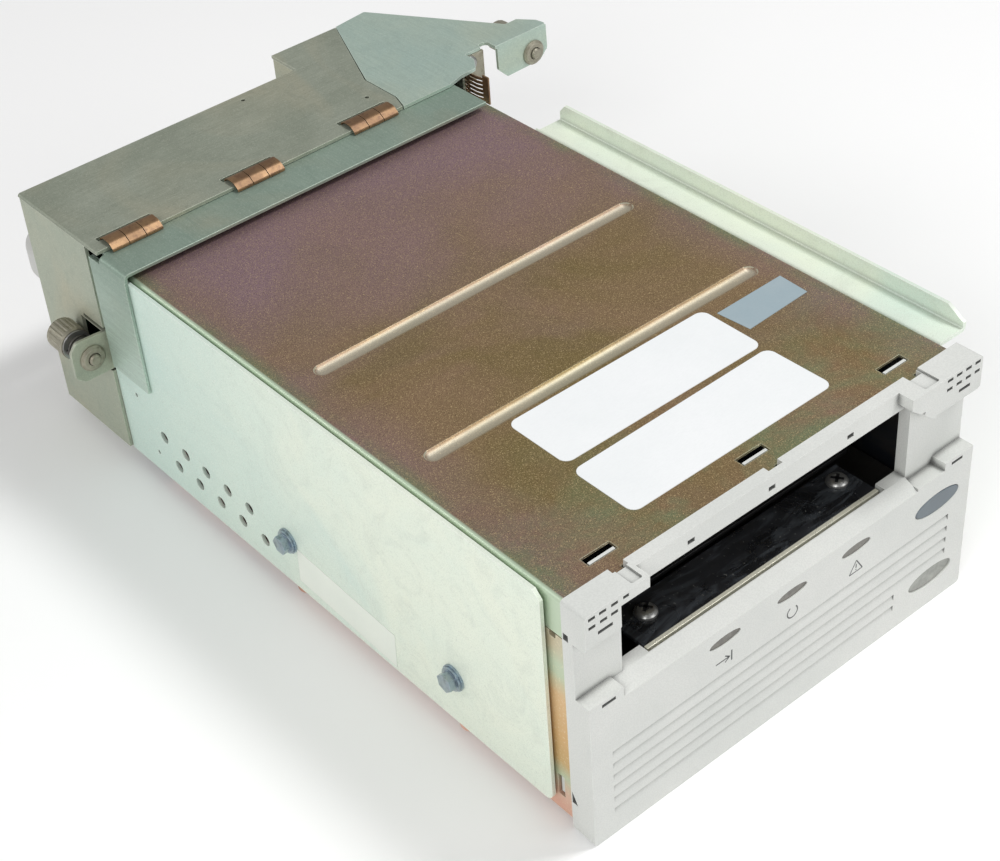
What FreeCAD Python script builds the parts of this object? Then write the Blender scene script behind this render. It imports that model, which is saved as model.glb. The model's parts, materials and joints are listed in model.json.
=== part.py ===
import FreeCAD, Part
import Sketcher
import math
import os

# Library tape drive on its sheet-metal sled.  Millimetres, +Z up, bezel
# facing -Y.  Lengths along Y are first counted from the back of the bezel and
# then shifted by datum_y, so that the origin of the row is the centre of the
# four standard mounting holes in the underside of the drive.

os.makedirs("parts", exist_ok=True)
doc = FreeCAD.newDocument("tape_drive")
V = FreeCAD.Vector

sheet = doc.addObject("Spreadsheet::Sheet", "dim")


class Q:
    """A number together with the sheet expression that gives it."""

    def __init__(self, val, txt):
        self.val = float(val)
        self.txt = txt

    def __add__(self, o):
        o = q(o)
        return Q(self.val + o.val, "(%s + %s)" % (self.txt, o.txt))

    def __radd__(self, o):
        return q(o) + self

    def __sub__(self, o):
        o = q(o)
        return Q(self.val - o.val, "(%s - %s)" % (self.txt, o.txt))

    def __rsub__(self, o):
        return q(o) - self

    def __mul__(self, o):
        o = q(o)
        return Q(self.val * o.val, "(%s * %s)" % (self.txt, o.txt))

    def __rmul__(self, o):
        return q(o) * self

    def __truediv__(self, o):
        o = q(o)
        return Q(self.val / o.val, "(%s / %s)" % (self.txt, o.txt))

    def __neg__(self):
        return Q(-self.val, "(0 - %s)" % self.txt)


def q(x):
    if isinstance(x, Q):
        return x
    x = round(float(x), 6)
    return Q(x, "%s" % x if x >= 0 else "(0 - %s)" % -x)


row_no = [1]


def size(alias, value, note):
    r = row_no[0]
    row_no[0] += 1
    sheet.set("A%d" % r, note)
    sheet.set("B%d" % r, "%s" % value)
    sheet.setAlias("B%d" % r, alias)
    return Q(value, "dim." + alias)


# --- overall sizes ---------------------------------------------------------
datum_y = size("datum_y", 87.025, "mounting hole centre behind the bezel back")
half_w = size("half_width", 73.0, "half width of the drive (5.25 inch form)")
top_z = size("cover_top_z", 81.6, "top face of the drive cover")
rear_y = size("drive_rear_y", 203.2, "rear end of the drive")
cov_t = size("cover_sheet", 0.8, "cover sheet thickness")
hole_yf = size("hole_front_y", 47.4, "front mounting holes")
hole_p = size("hole_pitch_y", 79.25, "mounting hole pitch along Y")
hole_x = size("hole_half_x", 69.85, "half pitch of the bottom holes across X")
side_z = size("side_hole_z", 21.84, "height of the side mounting holes")
tap_r = size("tap_radius", 1.25, "tapped hole radius, M3")
# bezel
bz_hw = size("bezel_half_width", 74.55, "half width of the bezel")
bz_z0 = size("bezel_bottom_z", -1.6, "bottom edge of the bezel")
bz_z1 = size("bezel_top_z", 83.9, "top edge of the bezel")
bz_p = size("bezel_pillar_depth", 3.9, "depth of pillars and top bar")
bz_f = size("bezel_front_depth", 8.95, "depth of blocks and lower panel")
bz_sh = size("bezel_shell", 2.5, "bezel wall thickness")
mo_x0 = size("mouth_left_x", -58.3, "left side of the cartridge mouth")
mo_x1 = size("mouth_right_x", 51.0, "right side of the cartridge mouth")
mo_z0 = size("mouth_floor_z", 50.5, "sill of the mouth")
mo_z1 = size("mouth_roof_z", 77.0, "roof of the mouth")
pan_z = size("panel_top_z", 51.6, "top of the lower panel")
btn_a = size("oval_half_length", 9.45, "half length of the oval openings")
btn_b = size("oval_half_height", 3.45, "half height of the oval openings")
btn_x = size("oval_x", 60.2, "oval openings, X")
btn_z = size("button_z", 38.8, "eject button height")
win_z = size("status_z", 9.8, "status window height")
led_a = size("led_half_length", 5.85, "half length of an indicator window")
led_b = size("led_half_height", 1.65, "half height of an indicator window")
led_z = size("led_z", 43.0, "indicator window height")
btn_gap = size("button_gap", 0.25, "gap around the eject button")
btn_go = size("button_stroke", 1.5, "stroke of the eject button")
# drive inside
deck_z = size("deck_z", 30.0, "underside of the deck plate")
deck_t = size("deck_sheet", 2.5, "deck plate thickness")
sup_x = size("supply_x", -3.65, "supply hub axis X")
sup_y = size("supply_y", 58.0, "supply hub axis Y")
tak_x = size("take_up_x", 18.0, "take-up reel axis X")
tak_y = size("take_up_y", 158.0, "take-up reel axis Y")
reel_r = size("reel_radius", 36.0, "take-up reel flange radius")
run = size("running_clearance", 0.06, "radial clearance of running fits")
shaft_r = size("shaft_radius", 3.0, "motor shaft radius")
rol_r = size("roller_radius", 6.5, "tape guide roller radius")
post_r = size("post_radius", 1.5, "roller post radius")
gear_y = size("gear_y", 140.0, "loading gear axis Y")
gear_z = size("gear_z", 41.0, "loading gear axis height")
gear_m = size("gear_module", 0.8, "module of the loading gear")
gear_n = size("gear_teeth", 18, "teeth of the loading gear")
hed_x = size("head_x", -32.0, "head lift axis X")
hed_y = size("head_y", 148.0, "head lift axis Y")
# sled
sl_t = size("sled_sheet", 1.2, "sled sheet thickness")
sl_x = size("sled_side_x", 75.1, "outer face of the sled side plates")
sl_z0 = size("sled_bottom_z", 3.4, "bottom edge of the side plates")
sl_yf = size("left_plate_front_y", 7.3, "front edge of the left plate")
sl_z1 = size("left_plate_top_z", 81.2, "top edge of the left plate")
rp_yf = size("right_plate_front_y", 5.9, "front edge of the right plate")
fl_z = size("flange_z", 80.0, "top face of the right flange")
fl_x = size("flange_x", 85.6, "outer face of the right lip")
fl_y1 = size("flange_rear_y", 177.5, "rear end of the right flange")
lip_z = size("lip_top_z", 85.8, "top edge of the right lip")
bx_x = size("box_left_x", -76.3, "left face of the rear box")
bx_y0 = size("box_front_y", 221.5, "front edge of the rear box")
bx_y1 = size("box_rear_y", 263.2, "rear face of the rear box")
bx_z0 = size("box_bottom_z", 4.0, "underside of the rear box")
lid_z = size("lid_bottom_z", 85.2, "underside of the rear lid")
br_z = size("bridge_top_z", 85.0, "top face of the bridge strip")
br_y0 = size("bridge_front_y", 198.0, "front edge of the bridge strip")
cl_x = size("captive_left_x", -82.1, "left captive screw, X")
cl_z = size("captive_left_z", 44.7, "left captive screw, Z")
cr_x = size("captive_right_x", 112.6, "right captive screw, X")
cr_z = size("captive_right_z", 77.3, "right captive screw, Z")
cp_r = size("captive_shank_radius", 2.0, "captive screw shank radius")
doc.recompute()


# --- small helpers ---------------------------------------------------------
def bind(obj, prop, value):
    obj.setExpression(prop, q(value).txt)


def put(obj, x, y, z):
    bind(obj, "Placement.Base.x", x)
    bind(obj, "Placement.Base.y", q(y) - datum_y)
    bind(obj, "Placement.Base.z", z)


def box(name, x0, x1, y0, y1, z0, z1):
    o = doc.addObject("Part::Box", name)
    bind(o, "Length", q(x1) - q(x0))
    bind(o, "Width", q(y1) - q(y0))
    bind(o, "Height", q(z1) - q(z0))
    put(o, x0, y0, z0)
    return o


TURN = {"z": FreeCAD.Rotation(), "x": FreeCAD.Rotation(V(0, 1, 0), 90),
        "-x": FreeCAD.Rotation(V(0, 1, 0), -90),
        "y": FreeCAD.Rotation(V(1, 0, 0), -90), "-y": FreeCAD.Rotation(V(1, 0, 0), 90)}


def cyl(name, axis, x, y, z, r, length):
    o = doc.addObject("Part::Cylinder", name)
    o.Placement = FreeCAD.Placement(V(0, 0, 0), TURN[axis])
    bind(o, "Radius", r)
    bind(o, "Height", length)
    put(o, x, y, z)
    return o


def sphere(name, x, y, z, r):
    o = doc.addObject("Part::Sphere", name)
    bind(o, "Radius", r)
    put(o, x, y, z)
    return o


def cone(name, axis, x, y, z, r1, r2, length):
    o = doc.addObject("Part::Cone", name)
    o.Placement = FreeCAD.Placement(V(0, 0, 0), TURN[axis])
    bind(o, "Radius1", r1)
    bind(o, "Radius2", r2)
    bind(o, "Height", length)
    put(o, x, y, z)
    return o


def hexa(name, axis, x, y, z, flats, length, spin=0.0):
    o = doc.addObject("Part::Prism", name)
    o.Polygon = 6
    o.Placement = FreeCAD.Placement(V(0, 0, 0), TURN[axis].multiply(FreeCAD.Rotation(V(0, 0, 1), spin)))
    bind(o, "Circumradius", q(flats) / 1.7320508)
    bind(o, "Height", length)
    put(o, x, y, z)
    return o


def fuse(name, *objs):
    o = doc.addObject("Part::MultiFuse", name)
    o.Shapes = list(objs)
    o.Refine = True
    return o


def cut(name, base, *tools):
    tool = tools[0]
    if len(tools) > 1:
        tool = doc.addObject("Part::MultiFuse", name + "_tools")
        tool.Shapes = list(tools)
    o = doc.addObject("Part::Cut", name)
    o.Base = base
    o.Tool = tool
    o.Refine = True
    return o


def common(name, a, b):
    o = doc.addObject("Part::MultiCommon", name)
    o.Shapes = [a, b]
    return o


def group(name, *objs):
    o = doc.addObject("Part::Compound", name)
    o.Links = list(objs)
    return o


def outline(sk, pts):
    """Closed outline; a point is (a, b) or (a, b, corner radius)."""
    n = len(pts)
    num = [(q(p[0]).val, q(p[1]).val) for p in pts]
    first = []
    last = []
    for i in range(n):
        a, b = q(pts[i][0]), q(pts[i][1])
        r = pts[i][2] if len(pts[i]) > 2 else 0
        if not r:
            first.append((a, b))
            last.append((a, b))
            continue
        px, py = num[i]
        ax, ay = num[i - 1]
        bx, by = num[(i + 1) % n]
        la, lb = math.hypot(ax - px, ay - py), math.hypot(bx - px, by - py)
        ua, ub = ((ax - px) / la, (ay - py) / la), ((bx - px) / lb, (by - py) / lb)
        ang = math.acos(max(-1, min(1, ua[0] * ub[0] + ua[1] * ub[1])))
        d = r / math.tan(ang / 2)
        first.append((a + ua[0] * d, b + ua[1] * d))
        last.append((a + ub[0] * d, b + ub[1] * d))
    lines = []
    for i in range(n):
        j = (i + 1) % n
        s, e = last[i], first[j]
        g = sk.addGeometry(Part.LineSegment(V(s[0].val, s[1].val, 0), V(e[0].val, e[1].val, 0)))
        lines.append(g)
        for pos, pt in ((1, s), (2, e)):
            for kind, val in (("DistanceX", pt[0]), ("DistanceY", pt[1])):
                if abs(val.val) < 1e-7:
                    c = sk.addConstraint(Sketcher.Constraint("PointOnObject", g, pos, -2 if kind == "DistanceX" else -1))
                else:
                    c = sk.addConstraint(Sketcher.Constraint(kind, -1, 1, g, pos, val.val))
                    sk.setExpression("Constraints[%d]" % c, val.txt)
    for i in range(n):
        r = pts[i][2] if len(pts[i]) > 2 else 0
        if not r:
            continue
        s, e = first[i], last[i]
        px, py = num[i]
        sx, sy, ex, ey = s[0].val, s[1].val, e[0].val, e[1].val
        mx, my = (sx + ex) / 2 - px, (sy + ey) / 2 - py
        ml = math.hypot(mx, my)
        half = math.hypot(ex - sx, ey - sy) / 2
        hyp = math.hypot(sx - px, sy - py)
        dc = math.hypot(r, hyp)
        cx, cy = px + mx / ml * dc, py + my / ml * dc
        mid = V(cx - mx / ml * r, cy - my / ml * r, 0)
        g = sk.addGeometry(Part.Arc(V(sx, sy, 0), mid, V(ex, ey, 0)))
        before, after = lines[i - 1], lines[i]
        start = sk.getPoint(g, 1)
        a, b = (1, 2) if math.hypot(start.x - sx, start.y - sy) < 1e-4 else (2, 1)
        sk.addConstraint(Sketcher.Constraint("Coincident", g, a, before, 2))
        sk.addConstraint(Sketcher.Constraint("Coincident", g, b, after, 1))
        sk.addConstraint(Sketcher.Constraint("Radius", g, r))


FACE = {"xy": FreeCAD.Rotation(), "xz": FreeCAD.Rotation(V(1, 0, 0), 90),
        "yz": FreeCAD.Rotation(0.5, 0.5, 0.5, 0.5)}
DIRV = {"xy": V(0, 0, 1), "xz": V(0, 1, 0), "yz": V(1, 0, 0)}


def prism(name, plane, pts, a0, a1):
    """Straight prism from an outline in the named plane, between a0 and a1."""
    sk = doc.addObject("Sketcher::SketchObject", name + "_outline")
    sk.Placement = FreeCAD.Placement(V(0, 0, 0), FACE[plane])
    outline(sk, pts)
    put(sk, a0 if plane == "yz" else 0, a0 if plane == "xz" else 0, a0 if plane == "xy" else 0)
    o = doc.addObject("Part::Extrusion", name)
    o.Base = sk
    o.DirMode = "Custom"
    o.Dir = DIRV[plane]
    o.Solid = True
    bind(o, "LengthFwd", q(a1) - q(a0))
    return o


def body(name):
    b = doc.addObject("PartDesign::Body", name)
    return b


def sketch_on(b, name, role, off=0):
    for f in b.Origin.OriginFeatures:
        if f.Role == role:
            plane = f
    sk = b.newObject("Sketcher::SketchObject", name)
    sk.AttachmentSupport = [(plane, "")]
    sk.MapMode = "FlatFace"
    bind(sk, "AttachmentOffset.Base.z", off)
    return sk


def circles(sk, pts, r):
    for a, b in pts:
        a, b = q(a), q(b)
        g = sk.addGeometry(Part.Circle(V(a.val, b.val, 0), V(0, 0, 1), q(r).val))
        for kind, val in (("DistanceX", a), ("DistanceY", b)):
            if abs(val.val) < 1e-7:
                sk.addConstraint(Sketcher.Constraint("PointOnObject", g, 3, -2 if kind == "DistanceX" else -1))
            else:
                c = sk.addConstraint(Sketcher.Constraint(kind, -1, 1, g, 3, val.val))
                sk.setExpression("Constraints[%d]" % c, val.txt)
        c = sk.addConstraint(Sketcher.Constraint("Radius", g, q(r).val))
        sk.setExpression("Constraints[%d]" % c, q(r).txt)


def oval(sk, x, z, a, b):
    x, z, a, b = q(x), q(z), q(a), q(b)
    g = sk.addGeometry(Part.Ellipse(V(x.val + a.val, z.val, 0), V(x.val, z.val + b.val, 0), V(x.val, z.val, 0)))
    sk.exposeInternalGeometry(g)
    c = sk.addConstraint(Sketcher.Constraint("DistanceX", -1, 1, g, 3, x.val))
    sk.setExpression("Constraints[%d]" % c, x.txt)
    c = sk.addConstraint(Sketcher.Constraint("DistanceY", -1, 1, g, 3, z.val))
    sk.setExpression("Constraints[%d]" % c, z.txt)
    sk.addConstraint(Sketcher.Constraint("Horizontal", g + 1))
    c = sk.addConstraint(Sketcher.Constraint("Distance", g + 1, 2 * a.val))
    sk.setExpression("Constraints[%d]" % c, (a * 2).txt)
    c = sk.addConstraint(Sketcher.Constraint("Distance", g + 2, 2 * b.val))
    sk.setExpression("Constraints[%d]" % c, (b * 2).txt)


def pad(b, sk, length, rev=False):
    p = b.newObject("PartDesign::Pad", sk.Name + "_pad")
    p.Profile = sk
    p.Reversed = rev
    bind(p, "Length", length)
    b.Tip = p
    return p


def pocket(b, sk, depth, rev=False):
    p = b.newObject("PartDesign::Pocket", sk.Name + "_cut")
    p.Profile = sk
    p.Reversed = rev
    bind(p, "Length", depth)
    b.Tip = p
    return p


def turned(name, axis, x, y, z, pts):
    """Turned part; pts are (radius, height along the axis)."""
    b = body(name)
    sk = sketch_on(b, name + "_profile", "XZ_Plane")
    outline(sk, pts)
    rv = b.newObject("PartDesign::Revolution", name + "_turn")
    rv.Profile = sk
    rv.ReferenceAxis = (sk, ["V_Axis"])
    rv.Angle = 360
    b.Tip = rv
    b.Placement = FreeCAD.Placement(V(0, 0, 0), TURN[axis])
    put(b, x, y, z)
    return b


NODES = []


def node(obj):
    NODES.append(obj)
    return obj


# ===========================================================================
# FRONT BEZEL: one moulding, blocks and lower panel stand proud of the pillars
# ===========================================================================
bz = body("bezel")
put(bz, 0, 0, 0)
s = sketch_on(bz, "bezel_slab", "XZ_Plane")
outline(s, [(-bz_hw, bz_z0, 1.2), (bz_hw, bz_z0, 1.2), (bz_hw, bz_z1, 1.2), (-bz_hw, bz_z1, 1.2)])
pad(bz, s, bz_p)
s = sketch_on(bz, "bezel_panel", "XZ_Plane")
outline(s, [(-bz_hw, bz_z0, 1.2), (bz_hw, bz_z0, 1.2), (bz_hw, pan_z), (62.5, pan_z), (62.5, pan_z - 2.5),
            (mo_x1, pan_z - 2.5), (mo_x1, pan_z - 3.45), (-62.5, pan_z - 3.45), (-62.5, pan_z), (-bz_hw, pan_z)])
pad(bz, s, bz_f)
s = sketch_on(bz, "bezel_sill", "YZ_Plane", -62.5)
outline(s, [(-bz_p + 0.4, mo_z0), (-bz_p, mo_z0), (-bz_f, pan_z - 3.45), (-bz_f + 1, pan_z - 8), (-bz_p + 0.4, pan_z - 8)])
pad(bz, s, mo_x1 + 62.5)
s = sketch_on(bz, "bezel_left_block", "XZ_Plane")
outline(s, [(-bz_hw, bz_z1, 1.2), (-bz_hw, 71.4), (-62.5, 71.4), (-62.5, 80.1), (-52.7, 80.1), (-52.7, bz_z1)])
pad(bz, s, bz_f)
s = sketch_on(bz, "bezel_right_block", "XZ_Plane")
outline(s, [(bz_hw, bz_z1, 1.2), (bz_hw, 71.6), (56.0, 71.6), (45.3, 80.1), (45.3, bz_z1)])
pad(bz, s, bz_f)
s = sketch_on(bz, "bezel_bevel_left", "YZ_Plane", -bz_hw - 1)
outline(s, [(-bz_f - 0.5, 73.0), (-bz_f, 73.0), (-bz_f + 0.8, 71.4), (-bz_f + 0.8, 70.5), (-bz_f - 0.5, 70.5)])
pocket(bz, s, bz_hw + 1 - 62.5, True)
s = sketch_on(bz, "bezel_bevel_right", "YZ_Plane", 56.0)
outline(s, [(-bz_f - 0.5, 73.1), (-bz_f, 73.1), (-bz_f + 0.8, 71.6), (-bz_f + 0.8, 70.5), (-bz_f - 0.5, 70.5)])
pocket(bz, s, bz_hw + 1 - 56.0, True)
s = sketch_on(bz, "bezel_mouth", "XZ_Plane", bz_f + 1)
outline(s, [(mo_x0, mo_z0), (mo_x1, mo_z0), (mo_x1, mo_z1), (mo_x0, mo_z1)])
pocket(bz, s, bz_f + 2)
# the sill is a thin lip; the floor plate of the mouth starts behind it
s = sketch_on(bz, "bezel_sill_back", "XZ_Plane")
outline(s, [(-48.6, 45.6), (43.0, 45.6), (43.0, 53.0), (-48.6, 53.0)])
pocket(bz, s, bz_p - 0.4, True)
# hollow back
s = sketch_on(bz, "bezel_hollow_low", "XZ_Plane")
outline(s, [(-bz_hw + bz_sh, bz_z0 + bz_sh, 1), (bz_hw - bz_sh, bz_z0 + bz_sh, 1), (bz_hw - bz_sh, pan_z - 8, 1), (-bz_hw + bz_sh, pan_z - 8, 1)])
pocket(bz, s, bz_f - bz_sh, True)
s = sketch_on(bz, "bezel_hollow_left", "XZ_Plane")
outline(s, [(-bz_hw + bz_sh, 74.5), (-64.5, 74.5), (-64.5, bz_z1 - 2.6), (-bz_hw + bz_sh, bz_z1 - 2.6)])
pocket(bz, s, bz_f - bz_sh, True)
s = sketch_on(bz, "bezel_hollow_right", "XZ_Plane")
outline(s, [(58.5, 74.5), (bz_hw - bz_sh, 74.5), (bz_hw - bz_sh, bz_z1 - 2.6), (58.5, bz_z1 - 2.6)])
pocket(bz, s, bz_f - bz_sh, True)
# openings for the eject button, the status window and the indicators
s = sketch_on(bz, "bezel_ovals", "XZ_Plane", bz_f + 1)
oval(s, btn_x, btn_z, btn_a, btn_b)
oval(s, btn_x, win_z, btn_a, btn_b)
pocket(bz, s, bz_sh + 1.5)
s = sketch_on(bz, "bezel_leds", "XZ_Plane", bz_f + 1)
for k in (-25.9, -0.1, 25.6):
    oval(s, k, led_z, led_a, led_b)
pocket(bz, s, bz_sh + 1.5)
# styling grooves
s = sketch_on(bz, "bezel_grooves_long", "YZ_Plane", -67.15)
for k in (30.6, 26.0, 21.6, 17.3):
    outline(s, [(-bz_f - 0.3, k), (-bz_f + 0.9, k), (-bz_f - 0.3, k - 3.07)])
pocket(bz, s, 133.25, True)
s = sketch_on(bz, "bezel_grooves_short", "YZ_Plane", -67.15)
for k in (12.8, 8.4):
    outline(s, [(-bz_f - 0.3, k), (-bz_f + 0.9, k), (-bz_f - 0.3, k - 3.07)])
pocket(bz, s, 111.15, True)
# vent slots in the top blocks, small catches in the ledges and the top bar
s = sketch_on(bz, "bezel_slots", "XZ_Plane", bz_f + 0.5)
for x0, x1, zz, hh in [(-73.4, -71.1, 82.3, 1), (-69.8, -67.4, 82.3, 1), (-65.8, -63.5, 82.3, 1), (-61.8, -59.8, 82.3, 1),
                       (-73.4, -71.1, 79.4, 1), (-69.6, -67.2, 79.4, 1), (-65.9, -63.6, 79.4, 1), (-70.4, -65.4, 76.2, 1.1),
                       (59.6, 62.0, 82.5, 1), (63.4, 65.8, 82.5, 1), (67.3, 69.7, 82.5, 1), (71.2, 73.5, 82.5, 1),
                       (59.6, 62.0, 79.4, 1), (63.6, 65.9, 79.4, 1), (67.5, 69.7, 79.4, 1), (71.3, 73.5, 79.4, 1),
                       (65.0, 69.8, 76.3, 1.1), (-70.1, -65.3, 49.8, 1.1), (65.3, 70.0, 50.0, 1.0)]:
    outline(s, [(x0, zz - hh / 2), (x1, zz - hh / 2), (x1, zz + hh / 2), (x0, zz + hh / 2)])
pocket(bz, s, 1.4)
s = sketch_on(bz, "bezel_bar_notches", "XZ_Plane", bz_p + 0.5)
for k in (-33.5, -4.0, 26.2):
    outline(s, [(k - 1.25, 79.2), (k + 1.25, 79.2), (k + 1.25, 80.6), (k - 1.25, 80.6)])
pocket(bz, s, 1.6)
# recesses in the top for the cover tongues
s = sketch_on(bz, "bezel_top_recess", "XY_Plane", bz_z1 + 1)
outline(s, [(-57.9, 1), (-57.9, -7.9, 0.6), (-54.1, -7.9, 0.6), (-54.1, 1)])
outline(s, [(51.4, 1), (51.4, -7.9, 0.6), (57.4, -7.9, 0.6), (57.4, 1)])
pocket(bz, s, 1.7)
s = sketch_on(bz, "bezel_tongue_notch", "XY_Plane", bz_z1 + 1)
for k0, k1 in ((-58.7, -53.4), (-3.3, 1.9), (52.1, 56.9)):
    outline(s, [(k0, 1), (k0, -1.9), (k1, -1.9), (k1, 1)])
pocket(bz, s, bz_z1 + 1 - top_z + cov_t + 0.4)
# left side catch
s = sketch_on(bz, "bezel_side_catch", "YZ_Plane", -bz_hw - 0.5)
outline(s, [(-2.3, 70.9), (-0.4, 70.9), (-0.4, 73.2), (-2.3, 73.2)])
outline(s, [(-2.6, 9.6), (-0.4, 9.6), (-0.4, 13.9)])
pocket(bz, s, 1.6, True)
# snap hooks reaching back into the cover slots
s = sketch_on(bz, "bezel_hook_arms", "XY_Plane", mo_z1 + 0.4)
for k in (-54.6, 0.6, 56.0):
    outline(s, [(k - 4.4, -1), (k + 4.4, -1), (k + 4.4, 7.2), (k - 4.4, 7.2)])
pad(bz, s, 2.2)
s = sketch_on(bz, "bezel_hook_heads", "XY_Plane", mo_z1 + 2.0)
for k in (-54.6, 0.6, 56.0):
    outline(s, [(k - 4.4, 6.25), (k + 4.4, 6.25), (k + 4.4, 7.2), (k - 4.4, 7.2)])
pad(bz, s, top_z - mo_z1 - 2.1)
# side hooks with their heads in the chassis latch slots
for i, (z0, z1) in enumerate(((67.4, 73.4), (7.0, 13.0))):
    for sx, x0, x1 in ((-1, -70.7, -69.4), (1, 69.4, 70.7)):
        nm = "bezel_side_hook%d%s" % (i, "l" if sx < 0 else "r")
        s = sketch_on(bz, nm, "XY_Plane", z0)
        if i == 0:
            outline(s, [(sx * 68.3, -3), (sx * 69.6, -3), (sx * 69.6, 5.0), (sx * 71.6, 5.0), (sx * 71.6, 6.2), (sx * 69.8, 6.7), (sx * 68.3, 6.7)])
        else:
            outline(s, [(sx * 69.75, -8), (sx * 70.4, -8), (sx * 70.4, 5.0), (sx * 72.4, 5.0), (sx * 72.4, 6.2), (sx * 70.6, 6.7), (sx * 69.0, 6.7), (sx * 69.0, -4.5), (sx * 69.75, -4.5)])
        pad(bz, s, z1 - z0)
node(bz)

eb = body("eject_button")
put(eb, 0, 0, 0)
s = sketch_on(eb, "eject_button_face", "XZ_Plane", bz_f - bz_sh - 0.1)
oval(s, btn_x, btn_z, btn_a - btn_gap, btn_b - btn_gap)
pad(eb, s, bz_sh + 0.3)
s = sketch_on(eb, "eject_button_flange", "XZ_Plane", bz_f - bz_sh - 1.6)
oval(s, btn_x, btn_z, btn_a + 0.9, btn_b + 0.9)
pad(eb, s, 1.55)
s = sketch_on(eb, "eject_button_stem", "XZ_Plane", 2.0)
outline(s, [(btn_x - 3, btn_z - 1), (btn_x + 3, btn_z - 1), (btn_x + 3, btn_z + 1), (btn_x - 3, btn_z + 1)])
pad(eb, s, bz_f - bz_sh - 3.2)
node(eb)

sw = body("status_window")
put(sw, 0, 0, 0)
s = sketch_on(sw, "status_window_lens", "XZ_Plane", bz_f - bz_sh - 0.1)
oval(s, btn_x, win_z, btn_a - 0.1, btn_b - 0.1)
pad(sw, s, bz_sh - 0.3)
s = sketch_on(sw, "status_window_flange", "XZ_Plane", bz_f - bz_sh - 1.2)
oval(s, btn_x, win_z, btn_a - 0.1, btn_b - 0.1)
pad(sw, s, 1.2)
node(sw)

leds = []
for i, k in enumerate((-25.9, -0.1, 25.6)):
    b = body("led_window_%d" % (i + 1))
    put(b, 0, 0, 0)
    s = sketch_on(b, "led_window_%d_lens" % (i + 1), "XZ_Plane", bz_f - bz_sh - 0.1)
    oval(s, k, led_z, led_a - 0.08, led_b - 0.08)
    pad(b, s, bz_sh - 0.2)
    s = sketch_on(b, "led_window_%d_pipe" % (i + 1), "XZ_Plane", bz_f - bz_sh - 2.0)
    outline(s, [(k - 4.5, led_z - 2.2), (k + 4.5, led_z - 2.2), (k + 4.5, led_z + 0.4), (k - 4.5, led_z + 0.4)])
    pad(b, s, 2.0)
    leds.append(b)
node(group("led_windows", *leds))

# ===========================================================================
# DRIVE: cover, labels, chassis
# ===========================================================================
# cover sheet bent down at both sides, two stiffening beads, three snap slots
o1 = prism("cover_sheet_shape", "xz", [(-half_w, 68.5), (-half_w + cov_t, 68.5), (-half_w + cov_t, top_z - cov_t, 0.6),
                                       (half_w - cov_t, top_z - cov_t, 0.6), (half_w - cov_t, 68.5), (half_w, 68.5),
                                       (half_w, top_z, 1.4), (-half_w, top_z, 1.4)], 0.5, rear_y)
# the beads are pressed into the sheet; groove_r gives a groove 5.6 wide, 1.1 deep
groove_r, groove_c = 4.11, 3.01
beads = []
hollows = []
for i, (bx0, bx1, by) in enumerate(((-58.4, 60.0, 119.8), (-59.8, 61.3, 67.4))):
    for tag, rr, lst in (("o", groove_r + 0.75, beads), ("c", groove_r, hollows)):
        nm = "bead%d%s" % (i, tag)
        c1 = cyl(nm + "_bar", "x", bx0, by, top_z + groove_c, rr, bx1 - bx0)
        a = sphere(nm + "_end_a", bx0, by, top_z + groove_c, rr)
        b = sphere(nm + "_end_b", bx1, by, top_z + groove_c, rr)
        lst.append(fuse(nm, c1, a, b))
keep = box("bead_keep", -70, 70, 60, 126, top_z - 4, top_z - cov_t / 2)
bead_out = common("beads_pressed", fuse("beads_all", *beads), keep)
tabs = [box("cover_tab%d" % i, a, b, -1.4, 1.0, top_z - cov_t, top_z) for i, (a, b) in enumerate(((-58.3, -53.8), (-2.9, 1.5), (52.5, 56.5)))]
rear_fl = box("cover_rear_flange", -half_w + 3, half_w - 3, rear_y - cov_t, rear_y, 68.5, top_z - cov_t / 2)
slots = [box("cover_slot%d" % i, k - 4.9, k + 4.9, 5.9, 9.3, 78, 84) for i, k in enumerate((-54.6, 0.6, 56.0))]
node(cut("top_cover", fuse("cover_solid", o1, bead_out, rear_fl, *tabs), *(hollows + slots)))

lab = body("label_main")
put(lab, 0, 0, 0)
s = sketch_on(lab, "label_main_outline", "XY_Plane", top_z)
outline(s, [(-37.2, 39.4, 3), (37.6, 39.2, 3), (37.6, 63.3, 3), (-37.2, 63.5, 3)])
pad(lab, s, 0.12)
node(lab)
lab = body("label_serial")
put(lab, 0, 0, 0)
s = sketch_on(lab, "label_serial_outline", "XY_Plane", top_z)
outline(s, [(-37.9, 12.6, 3), (37.9, 12.8, 3), (37.4, 37.2, 3), (-38.0, 36.2, 3)])
pad(lab, s, 0.12)
node(lab)
lab = body("label_foil")
put(lab, 0, 0, 0)
s = sketch_on(lab, "label_foil_outline", "XY_Plane", top_z)
outline(s, [(40.6, 46.9), (65.6, 48.0), (66.1, 59.3), (39.5, 59.1)])
pad(lab, s, 0.1)
node(lab)

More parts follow.
